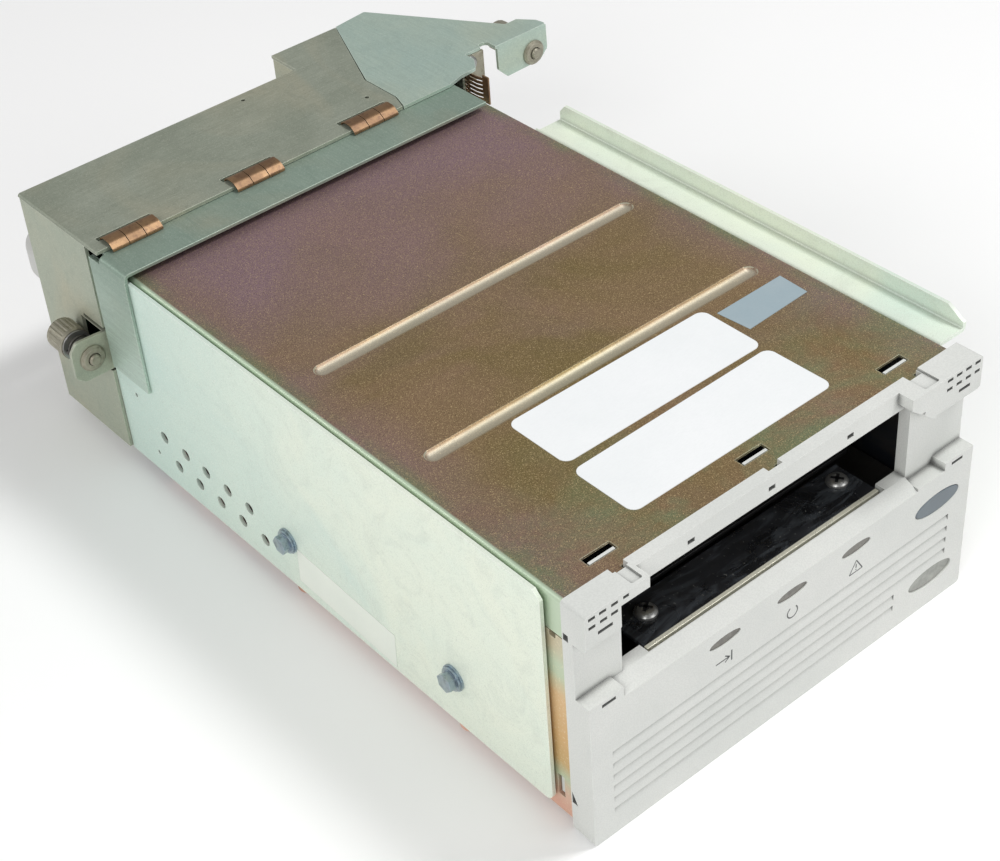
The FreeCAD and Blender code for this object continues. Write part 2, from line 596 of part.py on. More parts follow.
# chassis tray: floor, walls, bosses for the side and bottom screws
wall_in = half_w - 2.0
tray = [
    box("tray_floor", -half_w, half_w, 1.0, rear_y - 0.8, 0, 3.0),
    box("tray_left", -half_w, -wall_in, 1.0, rear_y - 0.8, 0, 68.0),
    box("tray_right", wall_in, half_w, 1.0, rear_y - 0.8, 0, 68.0),
    box("tray_left_up", -half_w + 1.1, -wall_in + 1.1, 1.0, rear_y - 1.2, 66.0, top_z - cov_t),
    box("tray_right_up", wall_in - 1.1, half_w - 1.1, 1.0, rear_y - 1.2, 66.0, top_z - cov_t),
    box("tray_front", -67.0, 67.0, 1.0, 3.0, 0, 46.0),
    box("tray_rear", -half_w + 1.1, half_w - 1.1, rear_y - 3.2, rear_y - 1.2, 0, top_z - cov_t),
]
holes = []
for i, (sx, yy) in enumerate(((-1, hole_yf), (1, hole_yf), (-1, hole_yf + hole_p), (1, hole_yf + hole_p))):
    tray.append(cyl("bottom_boss%d" % i, "z", hole_x * sx, yy, 0, 4.2, 13.0))
    holes.append(cyl("bottom_tap%d" % i, "z", hole_x * sx, yy, -1, tap_r, 9.0))
    tray.append(cyl("side_boss%d" % i, "x", 66.0 if sx > 0 else -sl_x + sl_t, yy, side_z, 4.2, sl_x - sl_t - 66.0))
    holes.append(cyl("side_tap%d" % i, "x", 65.0 if sx > 0 else -sl_x, yy, side_z, 1.55, sl_x - 65.0))
for i, (px, py) in enumerate(((-62, 20), (62, 20), (-62, 190), (62, 190))):
    tray.append(cyl("deck_pillar%d" % i, "z", px, py, 2.0, 4.0, deck_z - 2.0))
for i, (px, py) in enumerate(((-48, 22), (48, 22), (-48, 184), (48, 184))):
    tray.append(cyl("board_pad%d" % i, "z", px, py, 2.0, 3.0, 2.6))
trim = box("boss_trim", -90, 90, 0, 300, -5, 0)
holes.append(trim)
for i, (z0, z1) in enumerate(((66.4, 74.4), (6.0, 14.0))):
    for sx in (-1, 1):
        holes.append(box("latch_slot%d%s" % (i, "l" if sx < 0 else "r"), sx * half_w - 3, sx * half_w + 3, 4.4, 7.0, z0, z1))
holes.append(box("rear_window", -50, 30, rear_y - 6, rear_y + 2, 7, 24))
holes.append(box("vent_window", -30, 50, rear_y - 6, rear_y + 2, 36, 62))
node(cut("base_chassis", fuse("tray_solid", *tray), *holes))

# ===========================================================================
# DRIVE: inside
# ===========================================================================
deck_top = deck_z + deck_t
dk = [box("deck_sheet_shape", -68, 68, 3.4, 198, deck_z, deck_top)]
dk.append(cyl("plate_post_left", "z", -38.9, 7.7, deck_z, 3.0, 48.8 - deck_z))
dk.append(cyl("plate_post_right", "z", 36.4, 8.4, deck_z, 3.0, 48.8 - deck_z))
dh = [cyl("deck_hole_supply", "z", sup_x, sup_y, deck_z - 1, 5.0, 5),
      cyl("deck_hole_take", "z", tak_x, tak_y, deck_z - 1, 5.0, 5),
      cyl("deck_hole_head", "z", hed_x, hed_y, deck_z - 1, 4.0, 5),
      cyl("post_tap_left", "z", -38.9, 7.7, deck_top + 4, 1.55, 20),
      cyl("post_tap_right", "z", 36.4, 8.4, deck_top + 4, 1.55, 20)]
node(cut("deck_plate", fuse("deck_solid", *dk), *dh))

mp = fuse("mouth_plate_solid", box("mouth_plate_top", -47.8, 42, -2.2, 14, 48.8, 50),
          box("mouth_plate_lip", -47.8, 42, -2.2, -0.9, 46.4, 50))
node(cut("mouth_floor_plate", mp, cyl("mouth_hole_left", "z", -38.9, 7.7, 48, 1.8, 3),
         cyl("mouth_hole_right", "z", 36.4, 8.4, 48, 1.8, 3)))
scr = []
for i, (px, py) in enumerate(((-38.9, 7.7), (36.4, 8.4))):
    scr.append(turned("floor_plate_screw%d" % i, "z", px, py, 50.0,
                      [(0, -9), (1.5, -9), (1.5, 0), (3.3, 0), (3.3, 0.9), (2.4, 1.8), (0.9, 2.0), (0.9, 0.9), (0, 0.9)]))
node(group("floor_plate_screws", *scr))

rc = fuse("receiver_solid", box("receiver_floor", -57, 49.5, 16, 112, 48.8, 50),
          box("receiver_left", -57, -56, 16, 112, 48.8, 75),
          box("receiver_right", 48.5, 49.5, 16, 112, 48.8, 75),
          box("receiver_rear", -20, 49.5, 111, 112, 48.8, 62),
          box("receiver_left_rail", -57, -53, 16, 112, 74, 75),
          box("receiver_right_rail", 45.5, 49.5, 16, 112, 74, 75),
          cyl("receiver_pin_front", "x", 49.0, 40, 56, 1.5, 11.6),
          cyl("receiver_pin_rear", "x", 49.0, 95, 56, 1.5, 11.6))
node(cut("receiver", rc, cyl("receiver_hub_hole", "z", sup_x, sup_y, 47, 20, 4)))

# cam slider: rack at the rear, two slanted slots for the receiver pins
cs = body("cam_slider")
put(cs, 58.0, 0, 0)
s = sketch_on(cs, "cam_slider_plate", "YZ_Plane")
rack_z = gear_z + gear_m * gear_n / 2
outline(s, [(22, rack_z + gear_m + 0.2), (154, rack_z + gear_m + 0.2), (154, 64, 2), (22, 64, 2)])
pad(cs, s, 2.0)
s = sketch_on(cs, "cam_slider_slots", "YZ_Plane", -1)
for yy in (40.0, 95.0):
    # hull of the pin path: (yy,56) down to (yy-12,52), half width 1.9
    ln = math.hypot(12, 4)
    ux, uz = 12 / ln, 4 / ln
    w = 1.9
    ax, az, cx2, cz2 = yy + 0.3 * ux, 56 + 0.3 * uz, yy - 12 - 0.3 * ux, 52 - 0.3 * uz
    outline(s, [(ax + ux * w + uz * w, az + uz * w - ux * w, 1.8), (ax + ux * w - uz * w, az + uz * w + ux * w, 1.8),
                (cx2 - ux * w - uz * w, cz2 - uz * w + ux * w, 1.8), (cx2 - ux * w + uz * w, cz2 - uz * w - ux * w, 1.8)])
pocket(cs, s, 4, True)
s = sketch_on(cs, "cam_slider_tooth", "YZ_Plane")
pitch = gear_m * math.pi
y_first = gear_y - pitch * 6
tw = 0.12
half_tip = gear_m * (math.pi / 4 - math.tan(math.radians(20))) - tw
half_root = gear_m * (math.pi / 4 + math.tan(math.radians(20))) - tw
outline(s, [(y_first - half_root, rack_z + gear_m + 0.3), (y_first - half_tip, rack_z - gear_m * 0.95),
            (y_first + half_tip, rack_z - gear_m * 0.95), (y_first + half_root, rack_z + gear_m + 0.3)])
tooth = pad(cs, s, 2.0)
lp = cs.newObject("PartDesign::LinearPattern", "cam_slider_rack")
lp.Originals = [tooth]
lp.Direction = (s, ["H_Axis"])
lp.Occurrences = 11
bind(lp, "Length", pitch * 10)
cs.Tip = lp
node(cs)

# loading gear, axis along X, a tooth space pointing up to the rack
lg = body("load_gear")
lg.Placement = FreeCAD.Placement(V(0, 0, 0), FreeCAD.Rotation())
put(lg, 57.2, gear_y, gear_z)
s = sketch_on(lg, "load_gear_blank", "YZ_Plane")
circles(s, [(0, 0)], gear_m * gear_n / 2 - gear_m * 1.25)
pad(lg, s, 3.6)
s = sketch_on(lg, "load_gear_tooth", "YZ_Plane")
rp = gear_m.val * gear_n.val / 2
rb = rp * math.cos(math.radians(20))


def inv_half(r):
    al = math.acos(min(1, rb / r)) if r > rb else 0.0
    return math.pi / (2 * gear_n.val) + (math.tan(math.radians(20)) - math.radians(20)) - (math.tan(al) - al) - 0.018


flank = []
for r in (rp - gear_m.val * 1.25 - 0.2, rb + 0.02, rp - 0.3, rp, rp + 0.4, rp + gear_m.val * 0.95):
    hh = inv_half(max(r, rb))
    flank.append((r, hh))
left = [(r * math.cos(-hh), r * math.sin(-hh)) for r, hh in flank]
right = [(r * math.cos(hh), r * math.sin(hh)) for r, hh in flank]
outline(s, left + right[::-1])
gt = pad(lg, s, 3.6)
pp = lg.newObject("PartDesign::PolarPattern", "load_gear_teeth")
pp.Originals = [gt]
pp.Axis = (s, ["N_Axis"])
pp.Angle = 360
pp.Occurrences = 18
lg.Tip = pp
s = sketch_on(lg, "load_gear_bore", "YZ_Plane", -1)
circles(s, [(0, 0)], post_r + run)
pocket(lg, s, 8, True)
node(lg)

lm = fuse("load_motor", cyl("load_motor_can", "x", 62.0, gear_y, gear_z, 8.0, 8.6),
          box("load_motor_foot", 62.0, 67.8, gear_y - 7, gear_y + 7, deck_top, 36.0),
          cyl("load_motor_boss", "x", 61.2, gear_y, gear_z, 3.0, 1.5),
          cyl("load_motor_shaft", "x", 56.4, gear_y, gear_z, post_r, 6.0))
node(lm)

node(turned("supply_motor", "z", sup_x, sup_y, 0,
            [(0, 12), (24, 12, 1.0), (24, deck_z, 1.0), (shaft_r, deck_z), (shaft_r, 44.0), (0, 44.0)]))
hub = turned("supply_hub", "z", sup_x, sup_y, 0,
             [(shaft_r + run, 34.0), (16, 34.0), (16, 36.0), (10, 37.5), (10, 43.0), (15, 43.0), (15, 45.6, 0.4), (13.2, 45.6, 0.4),
              (12.6, 45.0), (shaft_r + run, 45.0)])
s = sketch_on(hub, "supply_hub_tooth", "XY_Plane", 44.5)
outline(s, [(13.3, -0.7), (14.8, -0.7), (14.8, 0.7), (13.3, 0.7)])
tp = pad(hub, s, 2.3)
hp = hub.newObject("PartDesign::PolarPattern", "supply_hub_teeth")
hp.Originals = [tp]
hp.Axis = (s, ["N_Axis"])
hp.Angle = 360
hp.Occurrences = 24
hub.Tip = hp
node(hub)

node(turned("take_up_motor", "z", tak_x, tak_y, 0,
            [(0, 12), (24, 12, 1.0), (24, deck_z, 1.0), (shaft_r, deck_z), (shaft_r, 61.0), (0, 61.0)]))
reel = turned("take_up_reel", "z", tak_x, tak_y, 0,
              [(shaft_r + run, 36.0), (11, 36.0), (12, 40.0), (reel_r, 40.0), (reel_r, 41.5), (12, 41.5), (12, 60.0),
               (reel_r, 60.0), (reel_r, 61.5), (12, 61.5), (11, 63.5), (shaft_r + run, 63.5)])
s = sketch_on(reel, "take_up_reel_windows", "XY_Plane", 70)
circles(s, [(23.5, 0)], 6.5)
cp = pocket(reel, s, 36)
hp = reel.newObject("PartDesign::PolarPattern", "take_up_reel_six")
hp.Originals = [cp]
hp.Axis = (s, ["N_Axis"])
hp.Angle = 360
hp.Occurrences = 6
reel.Tip = hp
node(reel)

posts = []
for i, (px, py) in enumerate(((-34, 121), (-52, 130), (-52, 166), (-30, 178))):
    posts.append(turned("roller_post%d" % (i + 1), "z", px, py, deck_top,
                        [(0, 0), (3.2, 0), (3.2, 5.1), (post_r, 5.1), (post_r, 29.0, 0.4), (0, 29.0)]))
    node(turned("guide_roller_%d" % (i + 1), "z", px, py, 0,
                [(post_r + run, 38.0), (rol_r + 1.0, 38.0), (rol_r + 1.0, 39.6), (rol_r, 40.0), (rol_r, 58.0),
                 (rol_r + 1.0, 58.4), (rol_r + 1.0, 60.0), (post_r + run, 60.0)]))
node(group("roller_posts", *posts))

node(turned("head_stepper", "z", hed_x, hed_y, 0,
            [(0, 18.0), (10, 18.0, 0.6), (10, 28.6), (13, 28.6), (13, deck_z), (2 + run, deck_z), (2 + run, 23.7), (0, 23.7)]))
thread = [(0, 24.0), (2.0, 24.0), (2.0, 35.0)]
zz = 35.0
while zz < 62.0:
    thread += [(1.7, zz + 0.375), (2.0, zz + 0.75)]
    zz += 1.5
    thread += [(2.0, zz)]
thread += [(2.0, 66.0), (0, 66.0)]
node(turned("head_screw", "z", hed_x, hed_y, 0, thread))
hc = cut("head_carriage_solid", box("head_carriage_block", -38, -26, hed_y - 10, hed_y + 10, 40, 54),
         cyl("carriage_nut", "z", hed_x, hed_y, 39, 2 + run, 16),
         cyl("carriage_bore_front", "z", hed_x, hed_y - 6.5, 39, 1.5 + run, 16),
         cyl("carriage_bore_rear", "z", hed_x, hed_y + 6.5, 39, 1.5 + run, 16))
hc.Label = "head_carriage"
node(hc)
th = fuse("tape_head", box("tape_head_block", -43.2, -38, hed_y - 6, hed_y + 6, 42, 52),
          cut("tape_head_nose", cyl("tape_head_crown", "z", -43.2, hed_y, 43, 2.0, 8),
              box("tape_head_trim", -43.2, -38, hed_y - 7, hed_y + 7, 40, 54)))
node(th)
node(group("head_guide_rods", cyl("guide_rod_front", "z", hed_x, hed_y - 6.5, deck_top, 1.5, 33),
           cyl("guide_rod_rear", "z", hed_x, hed_y + 6.5, deck_top, 1.5, 33)))

bd = [box("board_sheet", -55, 55, 12, 192, 4.6, 6.2)]
for i, (a, b, c, d, zt) in enumerate(((-20, 8, 86, 114, 9.4), (24, 44, 90, 110, 8.6), (-46, -30, 60, 84, 8.6), (-40, -26, 96, 116, 8.2),
                                      (-48, -8, 120, 128, 9.0), (-20, 20, 20, 27, 10.6), (28, 50, 30, 44, 8.4), (-46, 2, 182, 190, 10.8),
                                      (30, 50, 176, 188, 10.8), (-46, -36, 36, 46, 9.0))):
    bd.append(box("board_chip%d" % i, a, b, c, d, 6.0, zt))
node(fuse("main_board", *bd))

# ===========================================================================
# SLED: side plates, screws
# ===========================================================================
lp_ = body("left_side_plate")
put(lp_, -sl_x, 0, 0)
s = sketch_on(lp_, "left_plate_outline", "YZ_Plane")
outline(s, [(sl_yf, sl_z0, 3.0), (221.3, sl_z0), (221.3, sl_z1), (sl_yf + 2.6, sl_z1), (sl_yf, sl_z1 - 2.6)])
pad(lp_, s, sl_t)
s = sketch_on(lp_, "left_plate_screw_holes", "YZ_Plane", -1)
circles(s, [(hole_yf, side_z), (hole_yf + hole_p, side_z)], 1.8)
pocket(lp_, s, 3, True)
s = sketch_on(lp_, "left_plate_holes", "YZ_Plane", -1)
circles(s, [(196.5, 21.5), (183.8, 21.6), (172.1, 21.3), (160, 21.2), (148.0, 21.2), (190.1, 13), (177.9, 12.9),
            (165.7, 12.7), (153.5, 12.6), (141.3, 12.4)], 2.2)
pocket(lp_, s, 3, True)
s = sketch_on(lp_, "left_plate_small_holes", "YZ_Plane", -1)
circles(s, [(210.2, 31.7), (202.5, 12)], 0.8)
pocket(lp_, s, 3, True)
node(lp_)

rp_ = body("right_side_plate")
put(rp_, 0, 0, 0)
s = sketch_on(rp_, "right_plate_section", "XZ_Plane", -rp_yf)
outline(s, [(sl_x - sl_t, sl_z0), (sl_x, sl_z0), (sl_x, fl_z - sl_t, 0.5), (fl_x, fl_z - sl_t, 1.6), (fl_x, lip_z),
            (fl_x - sl_t, lip_z), (fl_x - sl_t, fl_z, 0.5), (sl_x - sl_t, fl_z, 1.6)])
pad(rp_, s, 221.3 - rp_yf, True)
s = sketch_on(rp_, "right_plate_trim", "XY_Plane", fl_z - sl_t - 2.0)
outline(s, [(sl_x + 0.01, fl_y1), (fl_x + 5, fl_y1), (fl_x + 5, 240), (sl_x + 0.01, 240)])
pocket(rp_, s, 20, True)
s = sketch_on(rp_, "right_plate_rear_step", "YZ_Plane", sl_x - sl_t - 1)
outline(s, [(fl_y1 + 1.5, 75.0, 1.0), (240.0, 75.0), (240.0, 90.0), (fl_y1 + 1.5, 90.0)])
pocket(rp_, s, 3, True)
s = sketch_on(rp_, "right_plate_nose", "YZ_Plane", fl_x + 2)
outline(s, [(rp_yf - 2, lip_z + 2), (rp_yf - 2, fl_z + 1.2), (rp_yf + 1.2, fl_z + 2.6), (rp_yf + 6.0, lip_z), (rp_yf + 6, lip_z + 2)])
outline(s, [(fl_y1 + 2, lip_z + 2), (fl_y1 - 2.4, lip_z + 2), (fl_y1 - 2.4, lip_z), (fl_y1 + 0.2, lip_z - 3.0), (fl_y1 + 2, lip_z - 3.0)])
pocket(rp_, s, 5)
s = sketch_on(rp_, "right_plate_screw_holes", "YZ_Plane", sl_x - sl_t - 1)
circles(s, [(hole_yf, side_z), (hole_yf + hole_p, side_z)], 1.8)
pocket(rp_, s, 4, True)
node(rp_)

screws = []
washers = []
for i, (sx, yy) in enumerate(((-1, hole_yf), (-1, hole_yf + hole_p), (1, hole_yf), (1, hole_yf + hole_p))):
    ax = "-x" if sx < 0 else "x"
    face = sl_x * sx
    w = cut("lock_washer%d" % i, cyl("lock_washer%d_disc" % i, ax, face, yy, side_z, 4.3, 0.7),
            cyl("lock_washer%d_hole" % i, ax, face - 0.2 * sx, yy, side_z, 1.7, 1.2))
    washers.append(w)
    screws.append(fuse("side_screw%d" % i,
                       cyl("side_screw%d_shank" % i, ax, face - 8.0 * sx, yy, side_z, 1.5, 9.0),
                       cyl("side_screw%d_flange" % i, ax, face + 0.7 * sx, yy, side_z, 3.9, 0.7),
                       hexa("side_screw%d_hex" % i, ax, face + 1.2 * sx, yy, side_z, 5.5, 2.6, 12.0 + 17 * i)))
node(group("side_screws", *screws))
node(group("lock_washers", *washers))

lab = body("side_label")
put(lab, -sl_x - 0.1, 0, 0)
s = sketch_on(lab, "side_label_outline", "YZ_Plane")
outline(s, [(75.6, 5.0), (123.7, 7.3), (122.6, 20.9), (74.8, 18.4)])
pad(lab, s, 0.1)
node(lab)

# ===========================================================================
# SLED: rear housing
# ===========================================================================
bx = body("rear_box_shell")
put(bx, 0, 0, 0)
s = sketch_on(bx, "rear_box_outline", "XY_Plane", bx_z0)
outer = [(bx_x, bx_y0), (bx_x, bx_y1, 1.2), (36.3, bx_y1), (36.3, 278.2, 1.2), (79.0, 278.2, 1.2), (79.0, bx_y0)]
outline(s, outer)
pad(bx, s, lid_z - bx_z0)
s = sketch_on(bx, "rear_box_inside", "XY_Plane", bx_z0 + sl_t)
outline(s, [(bx_x + sl_t, bx_y0 - 5), (bx_x + sl_t, bx_y1 - sl_t), (36.3 + sl_t, bx_y1 - sl_t), (36.3 + sl_t, 278.2 - 1.2),
            (78.0, 278.2 - 1.2), (78.0, bx_y0 - 5)])
pocket(bx, s, 100, True)
# rear openings: data connectors, power connector, fan
s = sketch_on(bx, "rear_box_openings", "XZ_Plane", -(bx_y1 + 2))
outline(s, [(-44, 10.0, 1.5), (14, 10.0, 1.5), (14, 20.0, 1.5), (-44, 20.0, 1.5)])
outline(s, [(-44, 25.0, 1.5), (14, 25.0, 1.5), (14, 35.0, 1.5), (-44, 35.0, 1.5)])
outline(s, [(-70, 10.0, 0.8), (-50, 10.0, 0.8), (-50, 34.0, 0.8), (-70, 34.0, 0.8)])
pocket(bx, s, 5, True)
s = sketch_on(bx, "rear_box_fan_hole", "XZ_Plane", -280)
circles(s, [(57.9, 45.0)], 18.0)
circles(s, [(41.9, 29.0), (73.9, 29.0), (41.9, 61.0), (73.9, 61.0)], 1.8)
pocket(bx, s, 5, True)
# lanced opening beside the left ear
s = sketch_on(bx, "rear_box_lance", "YZ_Plane", bx_x - 1)
outline(s, [(bx_y0 - 2, 36.0), (234.0, 36.0, 1), (234.0, 53.6, 1), (bx_y0 - 2, 53.6)])
pocket(bx, s, 3, True)
# left ear, bent outward, with the bush hole
s = sketch_on(bx, "rear_box_ear", "XZ_Plane", -(bx_y0 + 1.2))
outline(s, [(bx_x + 1.2, 52.0), (bx_x - 10.3, 52.6, 2.0), (bx_x - 12.9, 49.4, 2.0), (bx_x - 13.0, 39.6, 2.0), (bx_x - 9.8, 37.0, 2.0), (bx_x + 1.2, 37.0)])
pad(bx, s, sl_t)
s = sketch_on(bx, "rear_box_ear_root", "XY_Plane", 37.0)
outline(s, [(bx_x, bx_y0), (bx_x + sl_t, bx_y0), (bx_x + sl_t, 235.0), (bx_x, 235.0)])
pad(bx, s, 15.0)
s = sketch_on(bx, "rear_box_ear_cut", "YZ_Plane", bx_x - 0.5)
outline(s, [(bx_y0 + 1.8, 37.8), (236.0, 37.8), (236.0, 51.6), (bx_y0 + 1.8, 51.6)])
pocket(bx, s, 3, True)
s = sketch_on(bx, "rear_box_ear_hole", "XZ_Plane", -(bx_y0 - 3))
circles(s, [(cl_x, cl_z)], 3.4)
pocket(bx, s, 8)
node(bx)

ld = body("rear_lid")
put(ld, 0, 0, 0)
s = sketch_on(ld, "rear_lid_outline", "XY_Plane", lid_z)
outline(s, [(bx_x, 213.8), (46.3, 214.8), (48.5, 221.6, 2), (48.5, 238.8, 3), (65.1, 278.2), (36.3, 278.2), (36.3, bx_y1), (bx_x, bx_y1)])
pad(ld, s, sl_t)
s = sketch_on(ld, "rear_lid_clip_slots", "XY_Plane", lid_z - 1)
for xa, yb in ((-72.2, 0.0), (-24.6, 0.3), (23.6, 1.3)):
    outline(s, [(xa, 218.9 + yb), (xa + 20.0, 218.9 + yb), (xa + 20.0, 221.0 + yb), (xa, 221.0 + yb)])
pocket(ld, s, 4, True)
s = sketch_on(ld, "rear_lid_holes", "XY_Plane", lid_z - 1)
circles(s, [(10.8, 259.1), (41.7, 228.8)], 0.8)
pocket(ld, s, 4, True)
doc.recompute()
edges = []
for i, e in enumerate(ld.Shape.Edges):
    bb = e.BoundBox
    if bb.XMax < bx_x.val + 0.01 and bb.ZMin > lid_z.val + sl_t.val - 0.01:
        edges.append("Edge%d" % (i + 1))
lid_base = ld.Tip
fl = ld.newObject("PartDesign::Fillet", "rear_lid_bend")
fl.Base = (lid_base, edges)
fl.Radius = 1.0
ld.Tip = fl
node(ld)

tp_ = body("rear_top_plate")
put(tp_, 0, 0, 0)
s = sketch_on(tp_, "top_plate_outline", "XY_Plane", lid_z)
outline(s, [(46.7, 214.6), (67.3, 214.6, 3), (74.0, 216.6, 2), (80.6, 216.9, 2.5), (84.4, 222.4, 3.4), (84.0, 227.4, 1.2), (91.6, 227.4, 0.5),
            (91.8, 229.3, 0.6), (95.6, 229.3, 1.8), (95.4, 223.8), (119.2, 223.8, 1.0), (118.4, 228.3), (113.9, 234.0), (108.7, 234.0),
            (79.6, 280.2, 1), (65.4, 278.5), (48.9, 238.7, 3), (48.9, 221.5, 2)])
pad(tp_, s, sl_t)
s = sketch_on(tp_, "top_plate_tab", "XZ_Plane", -225.0)
outline(s, [(96.2, lid_z + 0.6), (119.2, lid_z + 0.6), (119.4, 76.6, 1.5), (115.7, 72.9, 1.5), (100.3, 72.5, 1.5), (96.4, 76.5, 1.5)])
pad(tp_, s, sl_t)
s = sketch_on(tp_, "top_plate_tab_hole", "XZ_Plane", -222.0)
circles(s, [(cr_x, cr_z)], 3.4)
pocket(tp_, s, 6)
node(tp_)

# bridge strip between drive and housing, bent down into the left flap
fb = prism("bridge_section", "xz", [(bx_x - 0.1, 39.0), (bx_x + 1.1, 39.0), (bx_x + 1.1, br_z - sl_t, 0.8), (69.3, br_z - sl_t), (69.3, br_z), (bx_x - 0.1, br_z, 2.0)], br_y0, 224.0)
fbc = [box("bridge_flap_trim", bx_x - 3, bx_x + 1.15, 219.8, 230.0, 30, 82.5),
       box("bridge_front_trim", bx_x - 1, bx_x + 1.15, br_y0 - 2, br_y0 + 0.5, 30, 82),
       box("bridge_cut_tail", bx_x - 3, bx_x + 2.6, 213.0, 230.0, 82.4, 87)]
node(cut("front_bridge", fb, *fbc))

# copper contact clips on the lid edge: a rail and three curved fingers each
rails = []
for i, (xa, yb) in enumerate(((-71.6, 0.0), (-24.0, 0.3), (24.2, 1.3))):
    lt = lid_z + sl_t
    parts_ = [box("clip%d_rail" % i, xa, xa + 19.0, 218.94 + yb, 219.46 + yb, lid_z - 0.15, lid_z + 0.6)]
    for k in range(3):
        x0 = xa + 0.2 + 6.3 * k
        parts_.append(prism("clip%d_finger%d" % (i, k), "yz",
                            [(219.0 + yb, lid_z - 0.1), (219.0 + yb, lt + 0.35, 0.5), (217.4 + yb, lt + 1.3, 2.5), (214.2 + yb, lt + 1.1, 2.5),
                             (211.9 + yb, lt - 0.5, 0.5), (211.9 + yb, lid_z + 0.1), (211.55 + yb, lid_z + 0.1), (211.55 + yb, lt - 0.3, 0.7),
                             (214.0 + yb, lt + 1.45, 2.9), (217.6 + yb, lt + 1.65, 2.9), (219.4 + yb, lt + 0.55, 0.9), (219.4 + yb, lid_z - 0.1)],
                            x0, x0 + 6.0))
    rails.append(fuse("clip%d" % i, *parts_))
node(group("emi_clips", *rails))

fs = [box("finger_strip_spine", 79.0, 79.6, 208.6, 211.8, 75.6, 86.0), box("finger_strip_foot", 79.05, 79.55, 221.6, 226.7, 60.0, 85.0)]
for k in range(6):
    z0 = 76.0 + 1.6 * k
    fs.append(prism("finger_strip_finger%d" % k, "xy", [(79.1, 211.0), (78.3, 214.0, 2), (78.2, 218.2, 2), (79.12, 221.1), (79.12, 222.4), (79.5, 222.4), (79.5, 220.9), (78.6, 218.0, 2), (78.7, 214.2, 2), (79.5, 211.0)], z0, z0 + 1.0))
fsn = fuse("finger_strip_solid", *fs)
fsn.Label = "finger_strip"
node(fsn)

cb = fuse("corner_bracket_solid", box("bracket_plate", 79.1, 92.4, 227.0, 228.2, 74.8, 85.1),
          box("bracket_foot", 79.1, 80.3, 227.0, 240.0, 74.8, 85.1),
          box("bracket_end", 91.2, 92.4, 227.0, 229.8, 74.8, 84.0))
node(cut("corner_bracket", cb, cyl("bracket_hole", "y", 85.6, 226, 82.4, 1.6, 4)))
node(turned("bracket_screw", "-y", 85.6, 227.0, 82.4,
            [(0, -6.0), (1.5, -6.0), (1.5, 0), (2.9, 0), (2.9, 0.9), (2.1, 1.7), (0.8, 1.9), (0.8, 0.9), (0, 0.9)]))

# captive screws: flanged bush in the ear, sprung knob screw, retaining washer
bushes = []
for side, cx, cz, fy in (("left", cl_x, cl_z, bx_y0), ("right", cr_x, cr_z, q(223.8))):
    # fy: front face of the ear sheet (1.2 thick)
    bushes.append(turned("captive_bush_" + side, "y", cx, fy, cz,
                         [(cp_r + 0.3, -1.3), (3.6, -1.3), (4.6, -0.5), (4.6, 0), (3.4, 0), (3.4, 1.2), (4.9, 1.2), (4.9, 2.2), (cp_r + 0.3, 2.2)]))
    knob = turned("captive_screw_" + side, "y", cx, fy, cz,
                  [(0, -2.3), (1.5, -2.3), (cp_r, -1.8), (cp_r, 10.5), (5.5, 10.5), (5.5, 20.5, 0.8), (1.6, 20.5), (1.6, 19.0), (0, 19.0)])
    s = sketch_on(knob, "captive_screw_%s_flute" % side, "XY_Plane", 12.0)
    circles(s, [(6.0, 0)], 0.75)
    fc = pocket(knob, s, 12, True)
    hp = knob.newObject("PartDesign::PolarPattern", "captive_screw_%s_flutes" % side)
    hp.Originals = [fc]
    hp.Axis = (s, ["N_Axis"])
    hp.Angle = 360
    hp.Occurrences = 20
    knob.Tip = hp
    node(knob)
    node(turned("captive_washer_" + side, "y", cx, fy, cz,
                [(cp_r + run, 9.7), (5.2, 9.7), (5.2, 10.45), (cp_r + run, 10.45)]))
    # coil spring between the bush flange and the washer
    sp = doc.addObject("Part::Feature", "captive_spring_" + side)
    coil_r, wire_r, y0, y1, turns = 4.0, 0.4, 2.2 + 0.41, 9.7 - 0.41, 4.5
    helix = Part.makeHelix((y1 - y0) / turns, y1 - y0, coil_r)
    prof = Part.Wire(Part.Circle(V(coil_r, 0, 0), V(0, 1, 0), wire_r).toShape())
    shp = Part.Wire(helix.Edges).makePipeShell([prof], True, True)
    sp.Shape = shp
    sp.Placement = FreeCAD.Placement(V(cx.val, fy.val - datum_y.val + y0, cz.val), TURN["y"])
    node(sp)
node(group("captive_bushes", *bushes))

